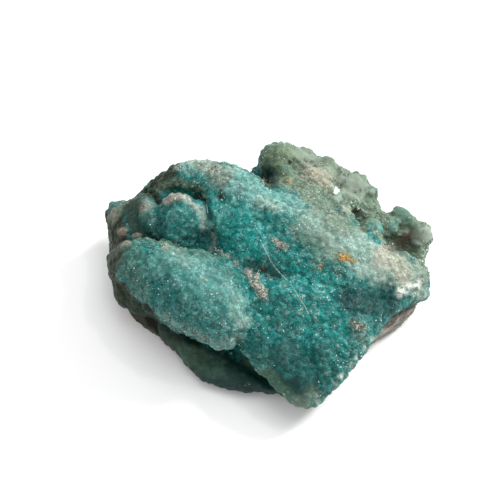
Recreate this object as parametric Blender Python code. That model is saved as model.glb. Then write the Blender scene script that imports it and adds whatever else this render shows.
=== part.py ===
"""Hemimorphite specimen: a blue-green botryoidal crust grown over a broken piece of grey matrix rock.

Shapes are written in millimetres and scaled to metres when they become objects. +X runs to the
right along the specimen's length, +Y to its back and +Z up. The specimen rests on the flat cut of
the rock at Z = 0, with the origin under the middle of its bounding box.
"""

import math

import bmesh
import bpy
from mathutils import Matrix, Vector, noise

MM = 0.001

# Mesh resolution, mm. The budgets count triangles.
CRUST_VOXEL = 0.55
CRUST_TRIANGLES = 7600
ROCK_VOXEL = 0.75
ROCK_TRIANGLES = 1900
LOBE_SUBDIVISIONS = 3
CHAIN_STEP = 0.35  # spacing of the balls along a ridge, as a share of their radius

# Botryoidal grain on the crust: rounded bumps this far apart and this high, mm.
GRAIN_SPACING = 3.2
GRAIN_HEIGHT = 1.1
SWELL_SPACING = 6.0
SWELL_HEIGHT = 1.3

# Rock: roughness of its broken faces, and the gap kept between rock and crust, mm.
ROCK_ROUGHNESS = 0.55
ROCK_GRAIN = 5.0
CRUST_GAP = 0.3
CRUST_FLOOR = 0.6  # the crust's lowest point stays this far above the table

# Ridges are chains of balls: (x, y, z, radius) at each station, mm. The number beside the name
# is the balls' height as a share of their width.
RIDGES = {
    ("arch", 1.0): [
        (-21.8, 10.9, 8.0, 2.4),
        (-19.2, 11.5, 10.5, 2.8),
        (-16.2, 11.8, 13.5, 3.1),
        (-12.4, 11.3, 15.5, 3.0),
        (-9.2, 10.0, 16.5, 3.4),
        (-5.9, 7.4, 16.2, 4.6),
        (-3.3, 4.0, 13.6, 6.5),
    ],
    ("main_ridge", 0.85): [
        (-3.3, 4.0, 12.4, 7.2),
        (3.0, 0.4, 11.4, 9.0),
        (11.0, -3.8, 9.8, 9.4),
        (17.6, -4.8, 8.2, 7.4),
        (22.6, -4.6, 6.6, 5.4),
        (26.0, -4.0, 5.6, 3.4),
    ],
    ("valley", 0.55): [
        (-8.5, -2.0, 10.4, 4.5),
        (-3.5, -6.0, 10.4, 6.0),
        (1.0, -9.5, 10.4, 7.0),
        (6.0, -12.0, 10.6, 8.0),
        (11.5, -12.8, 9.8, 8.6),
    ],
    ("right_edge", 0.8): [
        (16.0, -11.5, 6.8, 5.0),
        (19.4, -10.6, 6.3, 4.6),
        (22.2, -9.0, 5.7, 4.1),
        (26.0, -6.4, 4.6, 3.0),
    ],
    ("back_slope", 0.8): [
        (0.5, 7.0, 11.2, 5.0),
        (7.0, 4.6, 11.2, 6.0),
        (13.5, 2.0, 10.0, 5.8),
        (18.5, -0.6, 8.4, 4.6),
    ],
    ("tongue", 0.7): [
        (0.5, -16.5, 8.6, 6.0),
        (3.4, -20.6, 7.8, 6.4),
        (5.8, -24.4, 6.6, 5.0),
        (6.6, -27.4, 5.8, 3.2),
    ],
    ("tongue_side", 0.65): [
        (7.0, -13.0, 8.6, 8.5),
        (11.0, -17.5, 7.2, 8.5),
        (10.5, -23.0, 6.0, 6.2),
    ],
    ("finger", 0.95): [
        (-25.0, -2.4, 8.5, 3.8),
        (-21.6, -5.2, 10.4, 5.4),
        (-17.6, -8.4, 11.8, 6.2),
        (-12.4, -11.3, 12.2, 7.2),
        (-9.4, -13.4, 11.6, 6.6),
        (-7.9, -16.2, 11.0, 4.6),
    ],
    ("left_wall", 1.0): [
        (-24.9, 6.0, 8.0, 4.2),
        (-25.0, 1.4, 7.0, 3.6),
        (-24.9, -3.6, 5.8, 3.7),
    ],
    ("under_finger", 0.9): [
        (-24.5, -6.3, 6.2, 3.6),
        (-21.8, -8.4, 6.2, 3.5),
        (-19.2, -9.4, 6.2, 3.2),
    ],
    ("shelf", 0.8): [
        (-17.2, -12.4, 2.6, 2.6),
        (-14.4, -16.9, 2.4, 2.6),
        (-11.4, -20.2, 2.4, 2.7),
        (-8.0, -21.8, 2.4, 2.7),
        (-4.2, -22.8, 2.4, 2.7),
        (0.0, -22.9, 2.6, 2.7),
        (4.0, -23.8, 3.2, 2.8),
    ],
    ("shelf_inner", 0.6): [
        (-18.0, -8.5, 3.2, 3.4),
        (-12.0, -14.0, 3.0, 4.4),
        (-6.0, -18.5, 2.8, 4.4),
        (0.0, -20.0, 3.0, 4.0),
    ],
}

# Single knobs: (x, y, z, radius), mm.
KNOBS = {
    "bud": (-14.8, 2.8, 14.1, 4.3),
    "bud_root": (-18.2, 4.2, 12.0, 3.1),
    "bud_lobe_back": (-16.4, 5.0, 15.7, 1.9),
    "bud_lobe_right": (-12.6, 3.6, 15.1, 2.3),
    "bud_lobe_low": (-12.3, 1.6, 13.5, 2.1),
    "left_fill": (-22.3, 3.6, 9.6, 4.4),
    "corner_knob": (-27.4, 7.8, 8.8, 2.5),
    "pink_knob": (-22.2, 7.0, 12.0, 2.5),
    "left_bead_a": (-26.2, 2.4, 11.2, 1.3),
    "left_bead_b": (-25.8, -0.3, 10.8, 1.3),
    "left_shoulder": (-24.7, 8.6, 8.3, 2.0),
    "back_knob": (2.2, 17.2, 11.0, 4.0),
    "back_knob_side": (5.2, 17.4, 10.5, 3.0),
    "shadow_root": (-0.3, 16.0, 7.5, 2.6),
    "nub": (-2.4, 16.3, 8.2, 1.7),
    "front_of_back": (3.3, 11.5, 11.5, 2.9),
    "rim_a": (8.0, 16.8, 10.0, 2.8),
    "rim_b": (11.0, 15.9, 9.6, 2.9),
    "rim_c": (9.2, 12.4, 10.6, 3.6),
    "glassy_knob": (14.8, 12.6, 10.0, 3.3),
    "rim_d": (17.0, 10.8, 8.6, 2.6),
    "glassy_point": (18.6, 12.3, 9.2, 1.9),
    "inner_a": (14.0, 6.6, 10.4, 2.9),
    "inner_b": (11.0, 8.0, 10.8, 3.8),
    "inner_c": (7.0, 8.4, 11.4, 3.8),
    "blue_knob": (18.6, 6.9, 8.9, 2.7),
    "blue_knob_side": (21.4, 6.2, 7.6, 2.1),
    "right_knob_a": (24.2, 7.8, 6.8, 2.6),
    "right_knob_b": (27.2, 4.8, 6.4, 2.7),
    "right_knob_c": (26.6, 1.2, 5.0, 2.3),
    "right_knob_d": (27.8, -3.3, 4.6, 1.9),
    "right_knob_e": (26.6, -5.4, 4.0, 2.0),
}

# The mass under the ridges: centre, then radii, mm.
CORES = {
    "core": ((0.0, -2.0, 8.0), (24.0, 14.0, 5.0)),
    "valley_floor": ((0.5, -9.0, 9.0), (12.0, 8.0, 3.6)),
    "hollow_wall": ((-13.5, 8.0, 9.5), (7.0, 4.2, 4.5)),
    "back_core": ((10.0, 8.0, 7.0), (11.5, 8.0, 4.8)),
    "back_root": ((3.5, 14.5, 7.0), (5.5, 4.5, 4.0)),
    "front_core": ((5.0, -15.5, 5.5), (10.0, 8.0, 4.0)),
    "left_core": ((-17.0, 2.0, 7.0), (9.5, 8.5, 5.0)),
    "right_core": ((19.5, -1.0, 5.5), (8.5, 6.5, 4.0)),
    "right_root": ((23.5, 4.8, 5.2), (4.5, 4.0, 2.8)),
}

# Hollows eaten into the crust, as chains of balls like the ridges: behind the bud, the shaded
# recess under the finger and the tongue, two pockets among the right knobs, and a notch at the left.
RECESSES = {
    "behind_bud": [
        (-19.4, 7.8, 13.7, 1.6),
        (-16.0, 8.1, 14.2, 2.0),
        (-12.8, 7.1, 14.4, 1.9),
        (-10.3, 4.7, 14.2, 1.5),
        (-9.4, 2.4, 13.2, 1.3),
    ],
    "under_finger_and_tongue": [
        (-18.2, -10.6, 5.4, 1.5),
        (-12.5, -16.0, 6.0, 2.1),
        (-7.0, -18.4, 6.2, 2.2),
        (-2.6, -22.2, 5.6, 2.1),
        (1.8, -26.4, 4.6, 1.8),
    ],
    "blue_knob_pocket": [(16.0, 5.2, 12.2, 1.9), (16.8, 4.2, 12.0, 1.6)],
    "right_pocket": [(21.2, 1.8, 9.6, 2.1), (23.5, 1.3, 8.7, 2.6), (26.0, 0.6, 7.8, 1.9)],
    "left_notch": [(-30.4, 3.4, 4.5, 1.6), (-30.0, 1.6, 8.2, 1.7)],
}

# The broken edge at the front right, seen from above at the table: it runs in from the right and
# down to the tip, and slides outwards with height, so that the crust overhangs its own break.
FRACTURE_LINE = [
    (34.0, -1.5),
    (27.0, -6.2),
    (23.7, -7.9),
    (21.3, -9.3),
    (18.9, -11.5),
    (17.0, -14.6),
    (15.4, -17.0),
    (12.7, -20.8),
    (10.5, -24.2),
    (8.0, -27.2),
    (6.2, -29.2),
    (3.0, -36.0),
]
FRACTURE_OUTSIDE = [(30.0, -45.0), (45.0, -20.0)]
FRACTURE_SLIDE = (0.28, -0.28)  # mm of slide along X and Y for each mm of height
FRACTURE_HEIGHTS = (-5.0, 30.0)

# The flat cuts' helper: a slab wider than the specimen, up to the cut from well below it, mm.
SLAB_OUTLINE = [(-50.0, -50.0), (50.0, -50.0), (50.0, 50.0), (-50.0, 50.0)]
SLAB_BOTTOM = -20.0

# Rock corners, mm. The first ring is the footprint, the others the shoulders above it.
ROCK_CORNERS = [
    *[(-26.6, -6.0, -1.0), (-19.6, -13.4, -1.0), (-15.0, -18.0, -1.0), (-8.0, -22.5, -1.0)],
    *[(3.5, -24.0, -1.0), (12.0, -18.6, -1.0), (18.6, -14.2, -1.0), (26.2, -8.8, -1.0)],
    *[(26.6, -1.5, -1.0), (21.0, 9.0, -1.0), (6.0, 15.0, -1.0), (-10.0, 13.0, -1.0)],
    *[(-24.0, 5.0, -1.0), (-27.0, -6.8, 2.4), (-27.0, -3.6, 2.8), (-20.0, -13.6, 2.2)],
    *[(27.5, -9.2, 4.6), (27.0, -6.0, 4.6), (18.8, -15.5, 4.6), (26.5, 0.0, 4.0)],
    *[(15.0, 10.0, 5.0), (-8.0, 11.5, 5.0), (-24.0, 2.0, 4.0), (10.0, -18.0, 4.0)],
    *[(-6.0, -15.0, 2.2), (0.0, 0.0, 7.5), (12.0, -3.0, 7.0)],
]

COLOURS = {  # base colour, roughness
    "crust": ((0.075, 0.36, 0.37), 0.35),
    "rock": ((0.20, 0.18, 0.155), 0.85),
}


def clear_scene():
    """Empties the startup scene."""
    for obj in list(bpy.data.objects):
        bpy.data.objects.remove(obj)


def add_ball(bm, centre, radii):
    """Adds one ellipsoid to the mesh."""
    shape = Matrix.Translation(centre) @ Matrix.Diagonal((*radii, 1.0))
    bmesh.ops.create_icosphere(bm, subdivisions=LOBE_SUBDIVISIONS, radius=1.0, matrix=shape)


def add_ridge(bm, stations, height):
    """Adds balls along a ridge, close enough to read as one swelling."""
    for start, end in zip(stations, stations[1:]):
        apart = (Vector(end[:3]) - Vector(start[:3])).length
        steps = max(1, math.ceil(apart / (CHAIN_STEP * min(start[3], end[3]))))
        for step in range(steps + 1):
            x, y, z, radius = Vector(start).lerp(Vector(end), step / steps)
            add_ball(bm, (x, y, z), (radius, radius, radius * height))


def object_from(name, bm):
    """Turns the mesh into an object of the scene."""
    mesh = bpy.data.meshes.new(name)
    bm.to_mesh(mesh)
    bm.free()
    obj = bpy.data.objects.new(name, mesh)
    bpy.context.scene.collection.objects.link(obj)
    return obj


def apply_modifiers(obj):
    """Bakes the object's modifiers into its mesh."""
    graph = bpy.context.evaluated_depsgraph_get()
    mesh = bpy.data.meshes.new_from_object(obj.evaluated_get(graph))
    obj.modifiers.clear()
    obj.data = mesh


def fuse(obj, voxel, smoothing):
    """Melts overlapping shapes into one skin and softens the creases between them."""
    remesh = obj.modifiers.new("fuse", "REMESH")
    remesh.mode = "VOXEL"
    remesh.voxel_size = voxel
    soften = obj.modifiers.new("soften", "SMOOTH")
    soften.factor = 0.5
    soften.iterations = smoothing
    apply_modifiers(obj)


def displace(obj, spacing, height, kind):
    """Raises bumps along the surface's normals from a procedural pattern."""
    texture = bpy.data.textures.new(f"{obj.name}_{kind.lower()}_{spacing}", kind)
    texture.noise_scale = spacing
    raise_bumps = obj.modifiers.new("bumps", "DISPLACE")
    raise_bumps.texture = texture
    raise_bumps.texture_coords = "LOCAL"
    raise_bumps.direction = "NORMAL"
    raise_bumps.mid_level = 0.5
    raise_bumps.strength = height
    apply_modifiers(obj)


def reduce_to(obj, triangles):
    """Collapses the mesh to about this many triangles."""
    obj.data.calc_loop_triangles()
    collapse = obj.modifiers.new("collapse", "DECIMATE")
    collapse.ratio = min(1.0, triangles / len(obj.data.loop_triangles))
    collapse.use_collapse_triangulate = True
    apply_modifiers(obj)


def cut(obj, cutter):
    """Cuts the object with a closed helper, then removes the helper."""
    boolean = obj.modifiers.new("cut", "BOOLEAN")
    boolean.operation = "DIFFERENCE"
    boolean.object = cutter
    apply_modifiers(obj)
    bpy.data.objects.remove(cutter)


def prism(name, outline, low, high, slide=(0.0, 0.0)):
    """A closed prism over a plan outline, which slides along X and Y as it rises."""
    bm = bmesh.new()
    rings = []
    for level in (low, high):
        along = Vector(slide) * level
        rings.append([bm.verts.new((x + along.x, y + along.y, level)) for x, y in outline])
    floor, roof = rings
    bm.faces.new(floor)
    bm.faces.new(roof)
    for index in range(len(outline)):
        after = (index + 1) % len(outline)
        bm.faces.new((floor[index], floor[after], roof[after], roof[index]))
    bmesh.ops.recalc_face_normals(bm, faces=bm.faces)
    return object_from(name, bm)


def slab(name, top):
    """A wide slab whose flat top cuts an object's foot level."""
    return prism(name, SLAB_OUTLINE, SLAB_BOTTOM, top)


def make_rock(name, swell):
    """The matrix: a blocky broken piece. swell moves its faces outwards, for the crust's cutter."""
    bm = bmesh.new()
    for corner in ROCK_CORNERS:
        bm.verts.new(corner)
    bmesh.ops.convex_hull(bm, input=bm.verts)
    loose = [vert for vert in bm.verts if not vert.link_faces]
    bmesh.ops.delete(bm, geom=loose, context="VERTS")
    rock = object_from(name, bm)
    fuse(rock, ROCK_VOXEL, smoothing=1)
    for vert in rock.data.vertices:
        normal = vert.normal.copy()
        blocky = noise.cell(vert.co / ROCK_GRAIN) - 0.5
        fine = noise.noise(vert.co / ROCK_GRAIN * 1.7)
        vert.co += normal * (ROCK_ROUGHNESS * (blocky + fine) + swell)
    soften = rock.modifiers.new("soften", "SMOOTH")
    soften.iterations = 2
    apply_modifiers(rock)
    return rock


def make_crust():
    """The crust: ridges, knobs and the mass under them, fused and grained."""
    bm = bmesh.new()
    for centre, radii in CORES.values():
        add_ball(bm, centre, radii)
    for (_, height), stations in RIDGES.items():
        add_ridge(bm, stations, height)
    for x, y, z, radius in KNOBS.values():
        add_ball(bm, (x, y, z), (radius,) * 3)
    crust = object_from("hemimorphite_crust", bm)
    fuse(crust, CRUST_VOXEL, smoothing=6)
    displace(crust, SWELL_SPACING, SWELL_HEIGHT, "CLOUDS")
    displace(crust, GRAIN_SPACING, -GRAIN_HEIGHT, "VORONOI")
    fuse(crust, CRUST_VOXEL, smoothing=3)
    return crust


def make_recesses():
    """The hollows' cutter."""
    bm = bmesh.new()
    for stations in RECESSES.values():
        add_ridge(bm, stations, 1.0)
    recesses = object_from("recesses", bm)
    fuse(recesses, CRUST_VOXEL, smoothing=2)
    return recesses


def finish(obj, colour, roughness):
    """Gives the object its material, its real size and its shading."""
    material = bpy.data.materials.new(obj.name)
    material.use_nodes = True
    shader = material.node_tree.nodes["Principled BSDF"]
    shader.inputs["Base Color"].default_value = (*colour, 1.0)
    shader.inputs["Roughness"].default_value = roughness
    obj.data.materials.clear()
    obj.data.materials.append(material)
    obj.data.transform(Matrix.Scale(MM, 4))
    obj.data.update()


def centre_on_base(objects):
    """Moves the meshes together so that the origin is under the middle of their box."""
    points = [vert.co for obj in objects for vert in obj.data.vertices]
    middle_x = (min(p.x for p in points) + max(p.x for p in points)) / 2
    middle_y = (min(p.y for p in points) + max(p.y for p in points)) / 2
    for obj in objects:
        obj.data.transform(Matrix.Translation((-middle_x, -middle_y, 0.0)))


def main():
    clear_scene()
    rock = make_rock("matrix_rock", swell=0.0)
    reduce_to(rock, ROCK_TRIANGLES)
    cut(rock, slab("table", 0.0))

    crust = make_crust()
    cut(crust, make_recesses())
    outline = FRACTURE_LINE + FRACTURE_OUTSIDE
    cut(crust, prism("fracture", outline, *FRACTURE_HEIGHTS, FRACTURE_SLIDE))
    cut(crust, slab("floor", CRUST_FLOOR))
    fuse(crust, CRUST_VOXEL, smoothing=1)
    rock_cutter = make_rock("rock_cutter", swell=CRUST_GAP)
    reduce_to(rock_cutter, ROCK_TRIANGLES)
    cut(crust, rock_cutter)
    reduce_to(crust, CRUST_TRIANGLES)

    finish(crust, *COLOURS["crust"])
    finish(rock, *COLOURS["rock"])
    centre_on_base([crust, rock])


main()
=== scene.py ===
"""A hemimorphite specimen: its crystal crust, the druse, the matrix rock and the dirt on it.

Lengths are in millimetres until a mesh is handed over, which takes metres. Places on the crust are
given in columns and rows of a survey grid, laid square to the line of sight from the front above.
"""

import logging
import math
from dataclasses import dataclass, field
from enum import Enum

import bpy
import numpy as np
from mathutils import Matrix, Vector, noise
from mathutils.bvhtree import BVHTree


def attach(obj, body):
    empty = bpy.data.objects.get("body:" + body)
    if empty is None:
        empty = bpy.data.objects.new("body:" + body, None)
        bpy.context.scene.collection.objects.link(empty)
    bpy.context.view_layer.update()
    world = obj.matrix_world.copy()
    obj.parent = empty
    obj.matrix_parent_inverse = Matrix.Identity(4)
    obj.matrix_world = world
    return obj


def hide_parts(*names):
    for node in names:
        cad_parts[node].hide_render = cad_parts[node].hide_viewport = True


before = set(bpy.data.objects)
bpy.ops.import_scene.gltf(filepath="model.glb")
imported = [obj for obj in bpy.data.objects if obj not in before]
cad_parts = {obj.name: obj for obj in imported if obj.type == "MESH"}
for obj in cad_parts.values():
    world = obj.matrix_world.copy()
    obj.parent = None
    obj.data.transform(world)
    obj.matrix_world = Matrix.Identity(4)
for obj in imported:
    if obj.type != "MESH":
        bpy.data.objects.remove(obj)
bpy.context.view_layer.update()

LOG = logging.getLogger("hemimorphite")
MM = 0.001
TINY = 1e-9
BODY = "root"

# A column and a row of the survey grid, the least and the most of something, and a point of a
# skin with its normal.
Cell = tuple[float, float]
Limits = tuple[float, float]
Place = tuple[Vector, Vector]
Triple = tuple[float, float, float]
Colour = Triple

Piece = bpy.types.Object
Material = bpy.types.Material
Node = bpy.types.Node
Socket = bpy.types.NodeSocket
Tree = bpy.types.NodeTree
Value = Socket | Colour | float


class Slot(Enum):
    """The record's material slots."""

    HEMIMORPHITE = "hemimorphite"
    MATRIX = "matrix"


class Hue(Enum):
    """The crust's own colours, as linear albedo; the dark green is painted shade, and the olive is
    partly painted shade.
    """

    TEAL = (0.002, 0.115, 0.105)
    DEEP_TEAL = (0.002, 0.050, 0.047)
    BRIGHT_TEAL = (0.010, 0.290, 0.266)
    PALE_TEAL = (0.085, 0.260, 0.232)
    MILK = (0.200, 0.300, 0.252)
    GLASS = (0.215, 0.262, 0.212)
    SAGE = (0.098, 0.150, 0.104)
    MOSS = (0.088, 0.138, 0.080)
    GREEN = (0.060, 0.135, 0.095)
    PAINTED_SHADE_GREEN = (0.002, 0.024, 0.019)
    OLIVE = (0.013, 0.024, 0.011)
    GREY = (0.150, 0.168, 0.126)
    BEIGE = (0.320, 0.285, 0.205)
    PINK = (0.300, 0.230, 0.180)
    TAN = (0.330, 0.290, 0.230)
    BROWN = (0.088, 0.070, 0.047)
    WHITE = (0.650, 0.660, 0.620)


# ---------------------------------------------------------------------------------------------
# Mesh tools
# ---------------------------------------------------------------------------------------------


def read_vectors(
    collection: bpy.types.bpy_prop_collection, name: str, count: int
) -> np.ndarray:
    """Reads one vector property of a mesh collection.

    Args:
        collection: The vertices, normals or other collection to read.
        name: The property's name.
        count: How many entries the collection has.

    Returns:
        An array of one row per entry.
    """
    flat = np.empty(count * 3, np.float32)
    collection.foreach_get(name, flat)
    return flat.reshape(-1, 3).astype(float)


def read_points(obj: Piece) -> np.ndarray:
    """Reads an object's vertices, in mm.

    Args:
        obj: A mesh object at the origin.

    Returns:
        An array of one row per vertex.
    """
    return read_vectors(obj.data.vertices, "co", len(obj.data.vertices)) / MM


def write_points(obj: Piece, points: np.ndarray) -> None:
    """Moves an object's vertices.

    Args:
        obj: A mesh object at the origin.
        points: The new places in mm, one row per vertex.
    """
    obj.data.vertices.foreach_set("co", (points * MM).astype(np.float32).ravel())
    obj.data.update()


def read_normals(obj: Piece) -> np.ndarray:
    """Reads an object's vertex normals, one row per vertex."""
    return read_vectors(obj.data.vertex_normals, "vector", len(obj.data.vertices))


def read_edges(obj: Piece) -> np.ndarray:
    """Reads an object's edges.

    Args:
        obj: A mesh object.

    Returns:
        Pairs of vertex numbers, one row per edge.
    """
    flat = np.empty(len(obj.data.edges) * 2, np.int32)
    obj.data.edges.foreach_get("vertices", flat)
    return flat.reshape(-1, 2)


def neighbour_mean(values: np.ndarray, edges: np.ndarray) -> np.ndarray:
    """Averages each vertex's neighbours.

    Args:
        values: One row per vertex.
        edges: Pairs of vertex numbers.

    Returns:
        The neighbours' average, one row per vertex.
    """
    count = len(values)
    degree = np.bincount(edges.ravel(), minlength=count)
    total = np.empty_like(values)
    for axis in range(values.shape[1]):
        column = values[:, axis]
        total[:, axis] = np.bincount(edges[:, 0], column[edges[:, 1]], count)
        total[:, axis] += np.bincount(edges[:, 1], column[edges[:, 0]], count)
    return total / np.maximum(degree, 1)[:, None]


def smoothed(values: np.ndarray, edges: np.ndarray, rounds: int) -> np.ndarray:
    """Relaxes values halfway towards their neighbours' average, a number of times.

    Args:
        values: One row per vertex.
        edges: Pairs of vertex numbers.
        rounds: How many times.

    Returns:
        The relaxed values, one row per vertex.
    """
    for _ in range(rounds):
        values = (values + neighbour_mean(values, edges)) / 2
    return values


def add_object(name: str, data: bpy.types.ID) -> Piece:
    """Puts a mesh, light or camera into the scene.

    Args:
        name: The object's name.
        data: What it is.

    Returns:
        The object.
    """
    obj = bpy.data.objects.new(name, data)
    bpy.context.scene.collection.objects.link(obj)
    return obj


def object_from_arrays(
    name: str, points: np.ndarray, corners: np.ndarray, sizes: np.ndarray
) -> Piece:
    """Builds a mesh object from flat arrays.

    Args:
        name: The object's name.
        points: Vertices in mm, one row each.
        corners: The faces' vertex numbers, one after another.
        sizes: How many corners each face has.

    Returns:
        The object, linked to the scene.
    """
    mesh = bpy.data.meshes.new(name)
    mesh.vertices.add(len(points))
    mesh.vertices.foreach_set("co", (points * MM).astype(np.float32).ravel())
    mesh.loops.add(len(corners))
    mesh.loops.foreach_set("vertex_index", corners.astype(np.int32))
    mesh.polygons.add(len(sizes))
    starts = np.concatenate(([0], np.cumsum(sizes)[:-1])).astype(np.int32)
    mesh.polygons.foreach_set("loop_start", starts)
    mesh.update(calc_edges=True)
    mesh.validate()
    return add_object(name, mesh)


def refined(node: Piece, name: str, voxel: float, smoothing: int) -> Piece:
    """Copies a CAD solid as an even, finer skin.

    Args:
        node: The solid to copy.
        name: The copy's name.
        voxel: The copy's grid step, mm.
        smoothing: How many times its facets are relaxed.

    Returns:
        The copy, with its modifiers already in its mesh.
    """
    draft = add_object(f"{name}_draft", node.data.copy())
    remesh = draft.modifiers.new("even", "REMESH")
    remesh.mode = "VOXEL"
    remesh.voxel_size = voxel * MM
    soften = draft.modifiers.new("soften", "SMOOTH")
    soften.factor = 0.5
    soften.iterations = smoothing
    graph = bpy.context.evaluated_depsgraph_get()
    mesh = bpy.data.meshes.new_from_object(draft.evaluated_get(graph))
    bpy.data.objects.remove(draft)
    mesh.name = name
    return add_object(name, mesh)


def set_smooth(obj: Piece, smooth: bool) -> None:
    """Shades all of an object's faces smooth or flat."""
    obj.data.polygons.foreach_set("use_smooth", np.full(len(obj.data.polygons), smooth))


def add_tint(obj: Piece, tint: np.ndarray, frost: np.ndarray) -> None:
    """Stores each vertex's tint, with its frost as the alpha.

    Args:
        obj: The mesh object.
        tint: Linear colours, one row per vertex.
        frost: From 0, clear, to 1, frosted white, one per vertex.
    """
    layer = obj.data.color_attributes.new("tint", "FLOAT_COLOR", "POINT")
    values = np.column_stack([tint, frost]).astype(np.float32)
    layer.data.foreach_set("color", np.clip(values, 0.0, 1.0).ravel())


def add_cover(obj: Piece, cover: np.ndarray) -> None:
    """Stores how thickly each vertex is overgrown, from 0, smooth, to 1, sugary."""
    layer = obj.data.attributes.new("cover", "FLOAT", "POINT")
    layer.data.foreach_set("value", np.clip(cover, 0.0, 1.0).astype(np.float32))


def settle(obj: Piece, material: Material) -> None:
    """Gives a piece its material, and fixes it to the specimen.

    Args:
        obj: The piece.
        material: Its finish.
    """
    obj.data.materials.clear()
    obj.data.materials.append(material)
    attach(obj, BODY)


# ---------------------------------------------------------------------------------------------
# The survey grid
# ---------------------------------------------------------------------------------------------


class Surface:
    """A skin that can be hit by rays and asked for its nearest point, in mm."""

    def __init__(self, obj: Piece) -> None:
        """Reads an object's faces.

        Args:
            obj: A mesh object at the origin.
        """
        points = read_points(obj)
        faces = [tuple(face.vertices) for face in obj.data.polygons]
        self.tree = BVHTree.FromPolygons([Vector(p) for p in points], faces)

    def hit(self, start: Vector, heading: Vector) -> Place | None:
        """Finds where a ray meets the skin.

        Args:
            start: Where the ray starts.
            heading: Its direction.

        Returns:
            The point and its normal, or None where the ray misses.
        """
        point, normal, _, _ = self.tree.ray_cast(start, heading)
        return None if point is None else (point, normal)

    def nearest(self, point: Vector) -> Place:
        """Finds the skin's nearest point to a place, and its normal."""
        found, normal, _, _ = self.tree.find_nearest(point)
        return found, normal


@dataclass(frozen=True)
class Sight:
    """The line of sight from the front above, with the survey grid square to it.

    Attributes:
        aim: The place that the grid's centre covers, mm.
        elevation: How steeply the sight looks down, degrees.
        distance: How far off the eye is, mm.
        step: A cell's size at the aim, mm.
        centre: The column and row that lie on the line of sight.
        cells: How many cells the grid has each way.
    """

    aim: Triple = (-0.236, 4.729, 0.0)
    elevation: float = 58.0
    distance: float = 400.0
    step: float = 0.183
    centre: Cell = (268.0, 276.0)
    cells: float = 500.0

    def back(self) -> Vector:
        """The direction from the specimen to the eye."""
        lift = math.radians(self.elevation)
        return Vector((0.0, -math.cos(lift), math.sin(lift)))

    def eye(self) -> Vector:
        """Where the eye is, mm."""
        return Vector(self.aim) + self.back() * self.distance

    def heading(self, cell: Cell) -> Vector:
        """Finds the direction from the eye through a cell of the grid.

        Args:
            cell: Column and row.

        Returns:
            The direction, with length 1.
        """
        lift = math.radians(self.elevation)
        up = Vector((0.0, math.sin(lift), math.cos(lift)))
        across = (cell[0] - self.centre[0]) * self.step
        above = (self.centre[1] - cell[1]) * self.step
        way = Vector((across, 0.0, 0.0)) + up * above - self.back() * self.distance
        return way.normalized()

    def on(self, surface: Surface, cell: Cell) -> Place | None:
        """Finds the place on a skin that a cell of the grid covers.

        Args:
            surface: The skin.
            cell: Column and row.

        Returns:
            The point and its normal, or None where the cell is beside the skin.
        """
        return surface.hit(self.eye(), self.heading(cell))


# ---------------------------------------------------------------------------------------------
# Finishes
# ---------------------------------------------------------------------------------------------


# A Mix node's colour sockets go by number, because their names repeat.
MIX_FIRST, MIX_SECOND, MIX_RESULT = 6, 7, 2


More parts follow.
